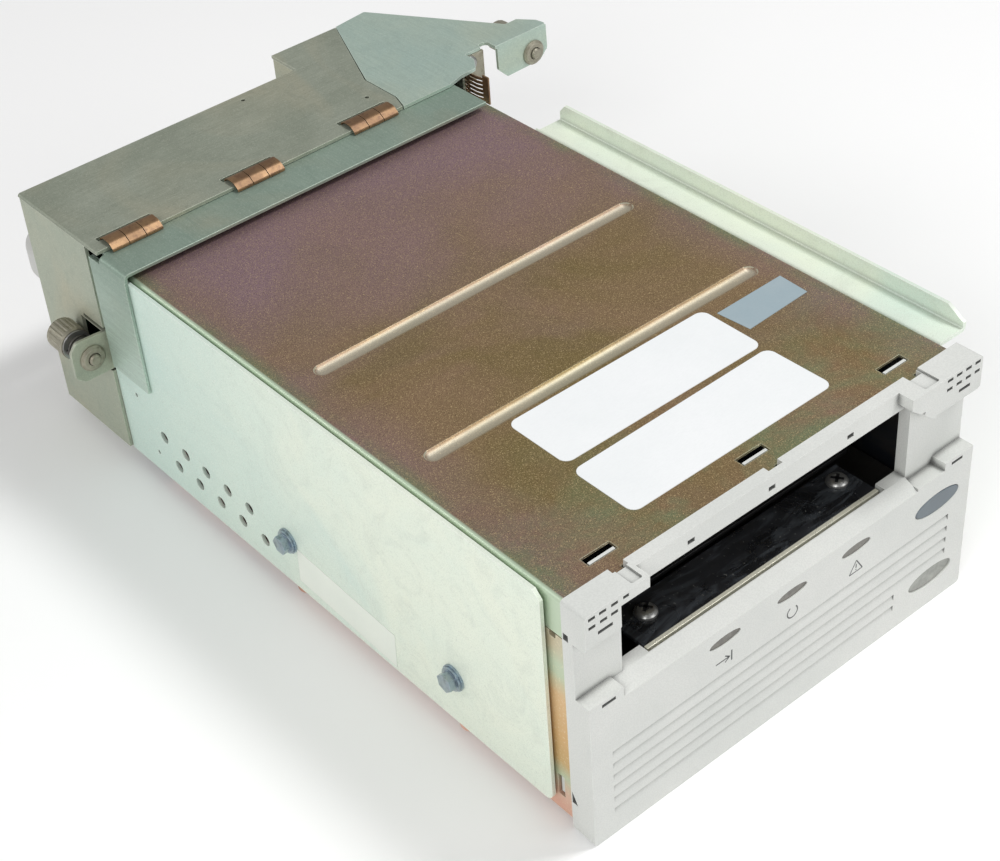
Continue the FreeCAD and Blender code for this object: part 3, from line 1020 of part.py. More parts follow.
# ===========================================================================
# SLED: rear electronics, fan, handle
# ===========================================================================
ib = [box("interface_sheet", -72, 32, 250.0, 251.6, 8.0, 80.0)]
for i, (a, b, c, d) in enumerate(((-60, -44, 50, 66), (-30, -6, 44, 62), (8, 24, 48, 60), (-70, -20, 70, 76))):
    ib.append(box("interface_chip%d" % i, a, b, 247.4, 250.5, c, d))
node(fuse("interface_board", *ib))
dc = []
for i, z0 in enumerate((10.5, 25.5)):
    b1 = box("data_conn%d_body" % i, -43, 13, 251.6, 262.0, z0, z0 + 9)
    b2 = prism("data_conn%d_shell" % i, "xz", [(-36, z0 + 1.0, 1.5), (6, z0 + 1.0, 1.5), (7.6, z0 + 8.0, 1.5), (-37.6, z0 + 8.0, 1.5)], 261.0, 268.0)
    b3 = prism("data_conn%d_well" % i, "xz", [(-35.3, z0 + 1.7, 1.2), (5.3, z0 + 1.7, 1.2), (6.8, z0 + 7.3, 1.2), (-36.8, z0 + 7.3, 1.2)], 263.0, 270.0)
    b4 = box("data_conn%d_tongue" % i, -33, 3, 262.0, 267.0, z0 + 3.7, z0 + 5.3)
    b5 = [hexa("data_conn%d_nut%d" % (i, j), "y", xx, 261.0, z0 + 4.5, 4.8, 5.4) for j, xx in enumerate((-40.4, 10.4))]
    dc.append(fuse("data_conn%d" % i, cut("data_conn%d_hollow" % i, fuse("data_conn%d_raw" % i, b1, b2), b3), b4, *b5))
node(group("data_connectors", *dc))
pc = cut("power_connector", box("power_body", -69.6, -50.4, 251.6, 268.0, 10.4, 33.6),
         box("power_well", -67.4, -52.6, 258.0, 270.0, 12.6, 31.4))
pins = [cyl("power_pin%d" % i, "y", -60.0, 257.0, 15.0 + 4.7 * i, 1.0, 9.0) for i in range(4)]
pcf = fuse("power_connector_solid", pc, *pins)
pc.Label = "power_well_cut"
pcf.Label = "power_connector"
node(pcf)

ff = cut("fan_frame_ring", box("fan_frame_block", 37.9, 77.9, 266.6, 277.0, 25, 65), cyl("fan_frame_bore", "y", 57.9, 266, 45, 18.4, 12),
         *[cyl("fan_frame_hole%d" % i, "y", 57.9 + a, 266, 45 + b, 1.8, 12) for i, (a, b) in enumerate(((-16, -16), (16, -16), (-16, 16), (16, 16)))])
ffn = fuse("fan_frame_solid", ff, box("fan_spoke_h", 38.9, 76.9, 275.4, 277.0, 44, 46), box("fan_spoke_v", 56.9, 58.9, 275.4, 277.0, 26, 64),
           cyl("fan_hub_seat", "y", 57.9, 275.2, 45, 8.0, 1.8), cyl("fan_pin", "y", 57.9, 268.0, 45, 1.0, 8.0))
ffn.Label = "fan_frame"
node(ffn)
fr = body("fan_rotor")
fr.Placement = FreeCAD.Placement(V(0, 0, 0), TURN["y"])
put(fr, 57.9, 267.0, 45)
s = sketch_on(fr, "fan_rotor_hub_disc", "XY_Plane")
circles(s, [(0, 0)], 8.6)
pad(fr, s, 7.8)
s = sketch_on(fr, "fan_rotor_blade", "YZ_Plane", 7.5)
outline(s, [(-4.6, 0.6), (-3.6, 0.6), (4.6, 7.2), (3.6, 7.2)])
bl = pad(fr, s, 9.6)
hp = fr.newObject("PartDesign::PolarPattern", "fan_rotor_blades")
hp.Originals = [bl]
for f in fr.Origin.OriginFeatures:
    if f.Role == "Z_Axis":
        hp.Axis = (f, [""])
hp.Angle = 360
hp.Occurrences = 7
fr.Tip = hp
s = sketch_on(fr, "fan_rotor_bore_sketch", "XY_Plane", -1)
circles(s, [(0, 0)], 1.0 + run)
pocket(fr, s, 12, True)
node(fr)

rings = []
for i, rr in enumerate((5.0, 9.5, 14.0, 18.2)):
    rings.append(cut("guard_ring%d" % i, cyl("guard_ring%d_out" % i, "y", 57.9, 278.2, 45, rr + 0.8, 1.4),
                     cyl("guard_ring%d_in" % i, "y", 57.9, 277.0, 45, rr - 0.8, 4.0)))
bars = []
for i, ang in enumerate((45, 135)):
    c = doc.addObject("Part::Box", "guard_bar%d" % i)
    rot = FreeCAD.Rotation(V(0, 1, 0), ang)
    c.Placement = FreeCAD.Placement(V(0, 0, 0), rot)
    bind(c, "Length", 50.0)
    bind(c, "Width", 1.4)
    bind(c, "Height", 2.0)
    off = rot.multVec(V(-25, 0, -1))
    put(c, 57.9 + off.x, 278.2, 45 + off.z)
    rings.append(c)
fgn = fuse("fan_guard_solid", *rings)
fgn.Label = "fan_guard"
node(fgn)

# rear grab handle: one bar of rounded section bent back to the wall
hd = body("rear_handle")
put(hd, 0, 0, 0)
s = sketch_on(hd, "rear_handle_section", "XZ_Plane", -bx_y1)
outline(s, [(-74.0, 47.0, 3.6), (-64.0, 47.0, 3.6), (-64.0, 61.0, 3.6), (-74.0, 61.0, 3.6)])
w = sketch_on(hd, "rear_handle_path", "XY_Plane", 54.0)
path = [(-69.0, bx_y1, -69.0, 270.0), (-59.0, 280.0, 9.0, 280.0), (19.0, 270.0, 19.0, bx_y1)]
runs = []
for x0, y0, x1, y1 in path:
    g = w.addGeometry(Part.LineSegment(V(x0, q(y0).val, 0), V(x1, q(y1).val, 0)))
    runs.append(g)
    for pos, a, b in ((1, x0, y0), (2, x1, y1)):
        for kind, val in (("DistanceX", q(a)), ("DistanceY", q(b))):
            c = w.addConstraint(Sketcher.Constraint(kind, -1, 1, g, pos, val.val))
            w.setExpression("Constraints[%d]" % c, val.txt)
d7 = 10.0 * math.sqrt(0.5)
for i, (p0, mid, p1) in enumerate((((-69.0, 270.0), (-59.0 - d7, 270.0 + d7), (-59.0, 280.0)), ((9.0, 280.0), (9.0 + d7, 270.0 + d7), (19.0, 270.0)))):
    g = w.addGeometry(Part.Arc(V(p0[0], p0[1], 0), V(mid[0], mid[1], 0), V(p1[0], p1[1], 0)))
    st = w.getPoint(g, 1)
    a, b = (1, 2) if math.hypot(st.x - p0[0], st.y - p0[1]) < 1e-4 else (2, 1)
    w.addConstraint(Sketcher.Constraint("Coincident", g, a, runs[i], 2))
    w.addConstraint(Sketcher.Constraint("Coincident", g, b, runs[i + 1], 1))
    w.addConstraint(Sketcher.Constraint("Radius", g, 10.0))
pipe = hd.newObject("PartDesign::AdditivePipe", "rear_handle_bar")
pipe.Profile = s
pipe.Spine = (w, [])
hd.Tip = pipe
node(hd)
hs = []
for i, xx in enumerate((-69.0, 19.0)):
    hs.append(turned("handle_screw%d" % i, "-y", xx, bx_y1 - sl_t, 54.0,
                     [(0, 0), (3.0, 0), (3.0, 1.0), (2.2, 1.9), (0, 1.9)]))
node(group("handle_screws", *hs))

# ===========================================================================
# recompute, test and write
# ===========================================================================
doc.recompute()
trouble = 0
for o in doc.Objects:
    if "Invalid" in o.State or "Error" in o.State:
        print("STATE", o.Name, o.State)
        trouble += 1
names = set()
for o in NODES:
    shp = o.Shape
    if shp.isNull() or not shp.isValid() or not shp.Solids:
        print("BAD SHAPE", o.Label, shp.isNull(), len(shp.Solids))
        trouble += 1
        continue
    if o.Label in names:
        print("LABEL TWICE", o.Label)
        trouble += 1
    names.add(o.Label)
    shp.exportStep("parts/%s.step" % o.Label)
    bb = shp.BoundBox
    print("%-22s solids %d vol %9.1f  x %.2f..%.2f y %.2f..%.2f z %.2f..%.2f" % (
        o.Label, len(shp.Solids), shp.Volume, bb.XMin, bb.XMax, bb.YMin + datum_y.val, bb.YMax + datum_y.val, bb.ZMin, bb.ZMax))
print("nodes", len(names), "trouble", trouble)
if trouble:
    raise RuntimeError("repair the features named above")
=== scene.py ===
import json
import math

import bmesh
import bpy
from mathutils import Matrix, Vector

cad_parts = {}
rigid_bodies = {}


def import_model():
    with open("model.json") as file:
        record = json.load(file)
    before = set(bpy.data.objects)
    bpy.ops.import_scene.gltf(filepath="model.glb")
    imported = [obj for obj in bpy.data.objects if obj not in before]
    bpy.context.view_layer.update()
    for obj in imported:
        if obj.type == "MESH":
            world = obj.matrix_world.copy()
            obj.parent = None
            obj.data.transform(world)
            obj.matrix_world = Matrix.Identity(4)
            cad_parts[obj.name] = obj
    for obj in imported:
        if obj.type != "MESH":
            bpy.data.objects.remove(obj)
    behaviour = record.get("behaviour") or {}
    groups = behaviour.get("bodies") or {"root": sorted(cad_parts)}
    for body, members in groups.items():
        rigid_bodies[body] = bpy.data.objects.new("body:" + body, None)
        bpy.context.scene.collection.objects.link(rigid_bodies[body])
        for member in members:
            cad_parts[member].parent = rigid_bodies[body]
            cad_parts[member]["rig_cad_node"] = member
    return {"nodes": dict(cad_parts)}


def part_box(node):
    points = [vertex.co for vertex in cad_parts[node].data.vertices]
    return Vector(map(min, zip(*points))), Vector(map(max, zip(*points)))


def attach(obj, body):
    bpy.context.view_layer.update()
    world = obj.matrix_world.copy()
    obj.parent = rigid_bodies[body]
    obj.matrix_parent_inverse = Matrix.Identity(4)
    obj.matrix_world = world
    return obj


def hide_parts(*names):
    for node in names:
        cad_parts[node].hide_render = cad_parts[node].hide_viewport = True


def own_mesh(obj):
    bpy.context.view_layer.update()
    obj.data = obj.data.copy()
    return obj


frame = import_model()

for extra in [o for o in bpy.data.objects if o.name in ("Cube", "Camera", "Light") and "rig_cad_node" not in o]:
    bpy.data.objects.remove(extra)
N = frame["nodes"]
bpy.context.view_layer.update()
MM = 0.001
DY = -87.025          # drawing y to frame y, mm


# ---------------------------------------------------------------- camera
def camera():
    cam = bpy.data.cameras.new("view")
    cam.sensor_width = 36.0
    cam.lens = 70.787
    cam.shift_x = 0.0288
    cam.shift_y = 0.0036
    cam.clip_start, cam.clip_end = 0.01, 50
    ob = bpy.data.objects.new("view", cam)
    rv = Vector((2.11671654704527, -0.808216993397309, 0.2917099219123853))
    r = Matrix.Rotation(rv.length, 3, rv.normalized())
    rows = [Vector(r[0]), -Vector(r[1]), -Vector(r[2])]
    m = Matrix((rows[0], rows[1], rows[2])).transposed().to_4x4()
    m.translation = Vector((-0.294925, -0.354933, 0.417598))
    ob.matrix_world = m
    bpy.context.scene.collection.objects.link(ob)
    bpy.context.scene.camera = ob


camera()


# ---------------------------------------------------------------- shader helpers
class Mat:
    def __init__(self, name):
        self.m = bpy.data.materials.new(name)
        self.m.use_nodes = True
        self.t = self.m.node_tree
        self.t.nodes.clear()
        self.out = self.t.nodes.new("ShaderNodeOutputMaterial")
        self.b = self.t.nodes.new("ShaderNodeBsdfPrincipled")
        self.t.links.new(self.b.outputs[0], self.out.inputs[0])
        tc = self.t.nodes.new("ShaderNodeTexCoord")
        self.p = tc.outputs["Object"]
        self.nrm = None

    def n(self, kind):
        return self.t.nodes.new(kind)

    def put(self, sock, v):
        if hasattr(v, "is_output"):
            self.t.links.new(v, sock)
        elif isinstance(v, (tuple, list)) and len(v) == 3 and len(sock.default_value) == 4:
            sock.default_value = (*v, 1.0)
        else:
            sock.default_value = v

    def stretch(self, s):
        k = self.n("ShaderNodeMapping")
        k.inputs["Scale"].default_value = s
        self.put(k.inputs["Vector"], self.p)
        return k.outputs[0]

    def noise(self, scale, detail=3.0, rough=0.55, vec=None, dist=0.0):
        k = self.n("ShaderNodeTexNoise")
        k.inputs["Scale"].default_value = scale
        k.inputs["Detail"].default_value = detail
        k.inputs["Roughness"].default_value = rough
        k.inputs["Distortion"].default_value = dist
        self.put(k.inputs["Vector"], vec if vec is not None else self.p)
        return k.outputs["Fac"]

    def voro(self, scale, out="Color"):
        k = self.n("ShaderNodeTexVoronoi")
        k.inputs["Scale"].default_value = scale
        self.put(k.inputs["Vector"], self.p)
        return k.outputs[out]

    def ramp(self, fac, stops, ease="LINEAR"):
        k = self.n("ShaderNodeValToRGB")
        k.color_ramp.interpolation = ease
        e = k.color_ramp.elements
        while len(e) < len(stops):
            e.new(0.5)
        for el, (pos, c) in zip(e, stops):
            el.position = pos
            el.color = (c, c, c, 1) if isinstance(c, (int, float)) else (*c, 1)
        self.put(k.inputs[0], fac)
        return k.outputs[0]

    def mix(self, f, a, b, mode="MIX"):
        k = self.n("ShaderNodeMix")
        k.data_type = "RGBA"
        k.blend_type = mode
        self.put(k.inputs[0], f)
        self.put(k.inputs[6], a)
        self.put(k.inputs[7], b)
        return k.outputs[2]

    def math(self, op, a, b=0.0, clamp=False):
        k = self.n("ShaderNodeMath")
        k.operation = op
        k.use_clamp = clamp
        self.put(k.inputs[0], a)
        self.put(k.inputs[1], b)
        return k.outputs[0]

    def span(self, v, lo, hi, to0=0.0, to1=1.0):
        k = self.n("ShaderNodeMapRange")
        k.clamp = True
        k.interpolation_type = "SMOOTHSTEP"
        self.put(k.inputs[0], v)
        for i, x in enumerate((lo, hi, to0, to1)):
            k.inputs[i + 1].default_value = x
        return k.outputs[0]

    def xyz(self):
        k = self.n("ShaderNodeSeparateXYZ")
        self.put(k.inputs[0], self.p)
        return k.outputs

    def bump(self, h, strength, dist):
        k = self.n("ShaderNodeBump")
        k.inputs["Strength"].default_value = strength
        k.inputs["Distance"].default_value = dist
        self.put(k.inputs["Height"], h)
        if self.nrm is not None:
            self.put(k.inputs["Normal"], self.nrm)
        self.nrm = k.outputs[0]

    def edges(self, radius):
        """1 on sharp outer and inner edges, 0 on flats."""
        bv = self.n("ShaderNodeBevel")
        bv.samples = 4
        bv.inputs[0].default_value = radius
        g = self.n("ShaderNodeNewGeometry")
        d = self.n("ShaderNodeVectorMath")
        d.operation = "DOT_PRODUCT"
        self.put(d.inputs[0], bv.outputs[0])
        self.put(d.inputs[1], g.outputs["True Normal"])
        return self.span(d.outputs["Value"], 0.995, 0.86)

    def crease_shade_mask(self, dist, lo=0.45, hi=0.95):
        """0 in tight corners and slots, 1 on open faces; used to paint shade into corners and slots."""
        k = self.n("ShaderNodeAmbientOcclusion")
        k.samples = 6
        k.only_local = True
        k.inputs["Distance"].default_value = dist
        return self.span(k.outputs["AO"], lo, hi)

    def done(self, color, rough, metallic=0.0, spec=0.5, coat=0.0, coat_rough=0.2, trans=0.0):
        self.put(self.b.inputs["Base Color"], color)
        self.put(self.b.inputs["Roughness"], rough)
        self.b.inputs["Metallic"].default_value = metallic
        self.b.inputs["Specular IOR Level"].default_value = spec
        self.b.inputs["Coat Weight"].default_value = coat
        self.b.inputs["Coat Roughness"].default_value = coat_rough
        self.b.inputs["Transmission Weight"].default_value = trans
        if self.nrm is not None:
            self.put(self.b.inputs["Normal"], self.nrm)
        return self.m


def srgb(r, g, b):
    f = lambda c: (c / 255 / 12.92) if c <= 10 else ((c / 255 + 0.055) / 1.055) ** 2.4
    return (f(r), f(g), f(b))


def zinc(name, a, b, cloud, speck, bright, metallic=0.45, rough=0.42, big=22.0, grain=None, edge_wear_and_glint=0.6, spk=0.35, tint=None):
    """Plated sheet: two cloud colours, a third in patches, fine speckle, painted shade in creases, bright edges that
    are partly wear and partly painted highlight.
    """
    k = Mat(name)
    n1 = k.noise(big, 4, 0.6, dist=0.6)
    n2 = k.noise(big * 0.37, 3, 0.5, dist=1.2)
    col = k.mix(k.ramp(n1, [(0.36, 0.0), (0.64, 1.0)]), a, b)
    col = k.mix(k.ramp(n2, [(0.5, 0.0), (0.72, 0.75)]), col, cloud)
    stains = k.ramp(k.noise(big * 2.6, 5, 0.72, dist=1.6), [(0.5, 0.0), (0.68, 0.3)])
    col = k.mix(stains, col, tuple(c * 0.74 for c in a))
    if tint:
        ax, lo, hi, amount, tcol = tint
        t = k.span(k.xyz()[ax], lo, hi)
        col = k.mix(k.math("MULTIPLY", t, amount), col, tcol)
    fine = k.noise(2100, 2, 0.75)
    dots = k.ramp(fine, [(0.54, 0.0), (0.66, 1.0)])
    col = k.mix(k.math("MULTIPLY", dots, spk), col, speck)
    salt = k.ramp(k.noise(2600, 2, 0.7), [(0.36, 0.24), (0.5, 0.0)])
    col = k.mix(salt, col, tuple(c * 0.6 for c in a))
    # painted shade: colour darkens towards 0.4 of the base in corners and slots
    unshaded_mask = k.crease_shade_mask(0.003, 0.3, 0.85)
    col = k.mix(unshaded_mask, tuple(c * 0.4 for c in a), col)
    pits = k.ramp(k.noise(900, 3, 0.7), [(0.28, 1.0), (0.4, 0.0)])
    col = k.mix(k.math("MULTIPLY", pits, 0.3), col, tuple(c * 0.55 for c in a))
    h = k.math("MULTIPLY", fine, 0.6)
    if grain:
        s = {"x": (60, 1400, 1400), "y": (1400, 60, 1400), "z": (1400, 1400, 60)}[grain]
        g = k.noise(1.0, 3, 0.6, vec=k.stretch(s))
        col = k.mix(k.ramp(g, [(0.35, 0.0), (0.7, 0.32)]), col, tuple(c * 0.7 for c in a))
        h = k.math("ADD", h, k.math("MULTIPLY", g, 0.8))
    # bright edges: partly wear, partly painted highlight
    if edge_wear_and_glint:
        e = k.math("MULTIPLY", k.edges(0.00045), edge_wear_and_glint)
        col = k.mix(e, col, bright)
    k.bump(k.noise(70, 2, 0.5), 0.08, 0.0012)
    k.bump(h, 0.12, 0.00008)
    r = k.math("ADD", k.math("MULTIPLY", n1, 0.16), rough - 0.08)
    r = k.math("ADD", r, k.math("MULTIPLY", fine, 0.12))
    return k.done(col, r, metallic)


def plastic(name, base, other, rough=0.5, grainy=0.18, gs=2600, spec=0.4, dirt=0.12, edge_wear_and_glint=0.0, coat=0.0, ao=0.0):
    k = Mat(name)
    n1 = k.noise(26, 4, 0.6)
    col = k.mix(k.ramp(n1, [(0.38, 0.0), (0.66, 1.0)]), base, other)
    fine = k.noise(gs, 2, 0.6)
    col = k.mix(k.math("MULTIPLY", k.ramp(fine, [(0.42, 1.0), (0.58, 0.0)]), dirt), col, tuple(c * 0.72 for c in base))
    marks = k.ramp(k.noise(180, 5, 0.75, dist=0.8), [(0.66, 0.0), (0.75, 0.35)])
    col = k.mix(k.math("MULTIPLY", marks, dirt * 2), col, tuple(c * 0.6 for c in base))
    # edges lightened: partly wear, partly painted highlight
    if edge_wear_and_glint:
        e = k.math("MULTIPLY", k.edges(0.0004), edge_wear_and_glint)
        col = k.mix(e, col, tuple(min(1.0, c * 1.15) for c in base))
    # painted shade: with ao set, corners and slots darken towards ao times the base colour
    if ao:
        unshaded_mask = k.crease_shade_mask(0.0024, 0.42, 0.97)
        col = k.mix(unshaded_mask, tuple(c * ao for c in base), col)
    k.bump(fine, grainy, 0.00006)
    r = k.math("ADD", k.math("MULTIPLY", n1, 0.14), rough - 0.07)
    return k.done(col, r, 0.0, spec, coat)


def plain_metal(name, a, b, metallic=0.85, rough=0.34, scratch="x", edge_wear_and_glint=0.4, dull=None):
    k = Mat(name)
    n1 = k.noise(90, 4, 0.65)
    col = k.mix(k.ramp(n1, [(0.35, 0.0), (0.68, 1.0)]), a, b)
    s = {"x": (90, 2400, 2400), "y": (2400, 90, 2400), "z": (2400, 2400, 90)}[scratch]
    g = k.noise(1.0, 3, 0.6, vec=k.stretch(s))
    col = k.mix(k.ramp(g, [(0.4, 0.0), (0.7, 0.35)]), col, tuple(c * 0.6 for c in a))
    if dull:
        col = k.mix(k.ramp(k.noise(420, 4, 0.7), [(0.5, 0.0), (0.66, 0.6)]), col, dull)
    # edges lightened: partly wear, partly painted highlight
    if edge_wear_and_glint:
        col = k.mix(k.math("MULTIPLY", k.edges(0.00025), edge_wear_and_glint), col, tuple(min(1.0, c * 1.5 + 0.08) for c in a))
    k.bump(g, 0.1, 0.00005)
    r = k.math("ADD", k.math("MULTIPLY", n1, 0.2), rough - 0.1)
    return k.done(col, r, metallic)


# ---------------------------------------------------------------- top cover: yellow zinc gone brown
def cover_mat():
    k = Mat("cover_zinc_look")
    x, y, z = k.xyz()[:3]
    olive = srgb(134, 115, 72)
    brown = srgb(150, 123, 94)
    mauve = srgb(152, 124, 136)
    green = srgb(122, 140, 104)
    n1 = k.noise(16, 4, 0.6, dist=0.8)
    n2 = k.noise(9, 3, 0.55, dist=1.4)
    n3 = k.noise(34, 4, 0.65, dist=0.5)
    col = k.mix(k.ramp(n1, [(0.36, 0.0), (0.62, 1.0)]), olive, brown)
    # mauve towards the rear and along both long sides
    rear = k.math("MULTIPLY", k.span(y, -0.02, 0.115), 0.85)
    side = k.span(k.math("ABSOLUTE", x), 0.045, 0.073)
    wob = k.math("MULTIPLY", k.math("SUBTRACT", n2, 0.5), 1.7)
    m = k.math("ADD", k.math("MAXIMUM", rear, k.math("MULTIPLY", side, 0.6)), wob, clamp=True)
    col = k.mix(k.math("MULTIPLY", m, 0.85), col, mauve)
    # green patches near the front and the corners
    gfront = k.math("MULTIPLY", k.span(y, -0.02, -0.085), k.ramp(n3, [(0.42, 0.0), (0.62, 0.75)]))
    gside = k.math("MULTIPLY", k.span(k.math("ABSOLUTE", x), 0.066, 0.0728), k.ramp(n3, [(0.35, 0.0), (0.6, 0.8)]))
    col = k.mix(k.math("MAXIMUM", gfront, gside), col, green)
    pink = k.math("MULTIPLY", k.span(k.math("ABSOLUTE", x), 0.069, 0.0728), k.ramp(n1, [(0.5, 0.0), (0.66, 0.7)]))
    col = k.mix(pink, col, srgb(160, 110, 132))
    # golden sparkle
    fine = k.noise(2700, 2, 0.8)
    fine2 = k.noise(3600, 2, 0.75)
    dots = k.ramp(fine, [(0.56, 0.0), (0.66, 1.0)])
    col = k.mix(k.math("MULTIPLY", dots, 0.6), col, srgb(232, 206, 156))
    dark = k.ramp(fine2, [(0.36, 0.7), (0.46, 0.0)])
    col = k.mix(dark, col, srgb(78, 62, 44))
    # painted highlight: the left rolled long edge is painted bright mint as its reflection of the lamps
    roll_highlight = k.span(x, -0.0715, -0.0722)
    col = k.mix(k.math("MULTIPLY", roll_highlight, 0.85), col, srgb(206, 226, 200))
    # painted highlight: the floors of the pressed grooves are painted pale as their reflection of the lamps
    low = k.span(z, 0.0814, 0.0807)
    bead_highlight = k.math("MULTIPLY", k.math("MULTIPLY", low, k.span(y, -0.025, -0.022)), k.span(k.math("ABSOLUTE", x), 0.0665, 0.0660))
    col = k.mix(k.math("MULTIPLY", bead_highlight, 0.5), col, srgb(214, 214, 196))
    # bright lines on the groove rims and outer edges: partly wear, partly painted highlight
    e = k.math("MULTIPLY", k.edges(0.0006), 0.55)
    col = k.mix(e, col, srgb(226, 232, 206))
    k.bump(k.noise(60, 2, 0.5), 0.05, 0.001)
    k.bump(k.math("ADD", fine, fine2), 0.22, 0.00007)
    r = k.math("ADD", k.math("MULTIPLY", n3, 0.18), 0.3)
    r = k.math("ADD", r, k.math("MULTIPLY", fine, 0.14))
    return k.done(col, r, 0.62)


def chassis_mat():
    k = Mat("chassis_zinc_look")
    x, y, z = k.xyz()[:3]
    n1 = k.noise(40, 4, 0.6, dist=0.7)
    zz = k.math("ADD", z, k.math("MULTIPLY", k.math("SUBTRACT", n1, 0.5), 0.012))
    bands = k.ramp(k.span(zz, 0.0, 0.082), [(0.0, srgb(226, 178, 158)), (0.09, srgb(190, 200, 170)), (0.16, srgb(206, 172, 118)), (0.3, srgb(216, 176, 122)),
                                            (0.6, srgb(222, 186, 140)), (0.74, srgb(196, 208, 180)), (1.0, srgb(204, 214, 194))])
    col = k.mix(k.ramp(k.noise(18, 3, 0.6, dist=1), [(0.5, 0.0), (0.7, 0.5)]), bands, srgb(206, 160, 120))
    fine = k.noise(1400, 2, 0.7)
    col = k.mix(k.ramp(fine, [(0.56, 0.0), (0.7, 0.4)]), col, srgb(240, 230, 200))
    # edges lightened: partly wear, partly painted highlight
    col = k.mix(k.math("MULTIPLY", k.edges(0.0004), 0.5), col, srgb(240, 240, 225))
    # copper colour on the chassis wall behind the side plate's holes, darkened as painted shade
    hole_copper_shade = k.math("MULTIPLY", k.span(y, 0.03, 0.05), k.span(x, -0.0722, -0.0728))
    col = k.mix(hole_copper_shade, col, k.mix(k.ramp(k.noise(240, 3, 0.6), [(0.4, 0.0), (0.6, 1.0)]), srgb(150, 92, 70), srgb(84, 56, 44)))
    # painted shade: the chassis's inner faces above the floor are painted dark grey
    inner = k.span(k.math("ABSOLUTE", x), 0.0722, 0.0712)
    inner = k.math("MULTIPLY", inner, k.span(z, 0.001, 0.003))
    col = k.mix(inner, col, k.mix(k.ramp(n1, [(0.4, 0.0), (0.6, 1.0)]), srgb(54, 58, 66), srgb(78, 76, 72)))
    k.bump(fine, 0.15, 0.00007)
    return k.done(col, k.math("ADD", k.math("MULTIPLY", n1, 0.2), 0.32), 0.4)


def board_mat():
    k = Mat("board_green_look")
    tr = k.ramp(k.voro(420), [(0.0, srgb(10, 60, 34)), (0.55, srgb(20, 84, 48)), (1.0, srgb(36, 104, 62))], "CONSTANT")
    col = k.mix(k.ramp(k.noise(300, 2, 0.5), [(0.45, 0.0), (0.55, 0.6)]), srgb(14, 66, 38), tr)
    pads = k.ramp(k.voro(900, "Distance"), [(0.1, 1.0), (0.16, 0.0)])
    col = k.mix(k.math("MULTIPLY", pads, 0.7), col, srgb(190, 186, 160))
    k.bump(k.noise(800, 2, 0.5), 0.2, 0.0001)
    return k.done(col, 0.42, 0.0, 0.5, 0.25)


def paper_mat(name, base, other, rough=0.45, metallic=0.0, spec=0.4, crease=0.04):
    k = Mat(name)
    n1 = k.noise(30, 4, 0.6)
    fibre = k.noise(1.0, 3, 0.6, vec=k.stretch((900, 2600, 900)))
    col = k.mix(k.ramp(n1, [(0.35, 0.0), (0.7, 1.0)]), base, other)
    col = k.mix(k.ramp(fibre, [(0.4, 0.0), (0.7, 0.25)]), col, tuple(c * 0.88 for c in base))
    col = k.mix(k.math("MULTIPLY", k.edges(0.0003), 0.5), col, tuple(c * 0.5 for c in base))
    k.bump(fibre, 0.12, 0.00004)
    k.bump(n1, crease, 0.0006)
    return k.done(col, k.math("ADD", k.math("MULTIPLY", n1, 0.1), rough), metallic, spec)


def window_mat(name, a, b, rim, scale=240, rough=0.28):
    """Translucent moulded window: mottled underside, darker at its rim."""
    k = Mat(name)
    n1 = k.noise(scale, 4, 0.7, dist=0.6)
    col = k.mix(k.ramp(n1, [(0.36, 0.0), (0.64, 1.0)]), a, b)
    col = k.mix(k.math("MULTIPLY", k.edges(0.0009), 0.8), col, rim)
    k.bump(n1, 0.06, 0.0002)
    return k.done(col, k.math("ADD", k.math("MULTIPLY", n1, 0.15), rough - 0.05), 0.0, 0.5, 0.4, 0.15)


def mouth_mat():
    k = Mat("mouth_plate_look")
    x, y, z = k.xyz()[:3]
    n1 = k.noise(55, 4, 0.6, dist=1.8)
    # painted reflection: pale grey-blue streaks on the black plate stand in for soft reflections
    swirl_reflection = k.noise(1.0, 3, 0.6, vec=k.stretch((40, 160, 40)), dist=2.5)
    col = k.mix(k.ramp(n1, [(0.36, 0.0), (0.66, 1.0)]), srgb(34, 35, 37), srgb(52, 54, 58))
    col = k.mix(k.ramp(swirl_reflection, [(0.5, 0.0), (0.64, 0.45)]), col, srgb(96, 102, 108))
    lip = k.span(y, -0.08785, -0.0881)
    col = k.mix(lip, col, srgb(226, 224, 206))
    spots = k.ramp(k.noise(700, 2, 0.6), [(0.66, 0.0), (0.72, 0.5)])
    col = k.mix(spots, col, srgb(150, 150, 146))
    k.bump(k.noise(700, 2, 0.6), 0.06, 0.00005)
    return k.done(col, k.math("ADD", k.math("MULTIPLY", n1, 0.25), 0.16), 0.3, 0.6)


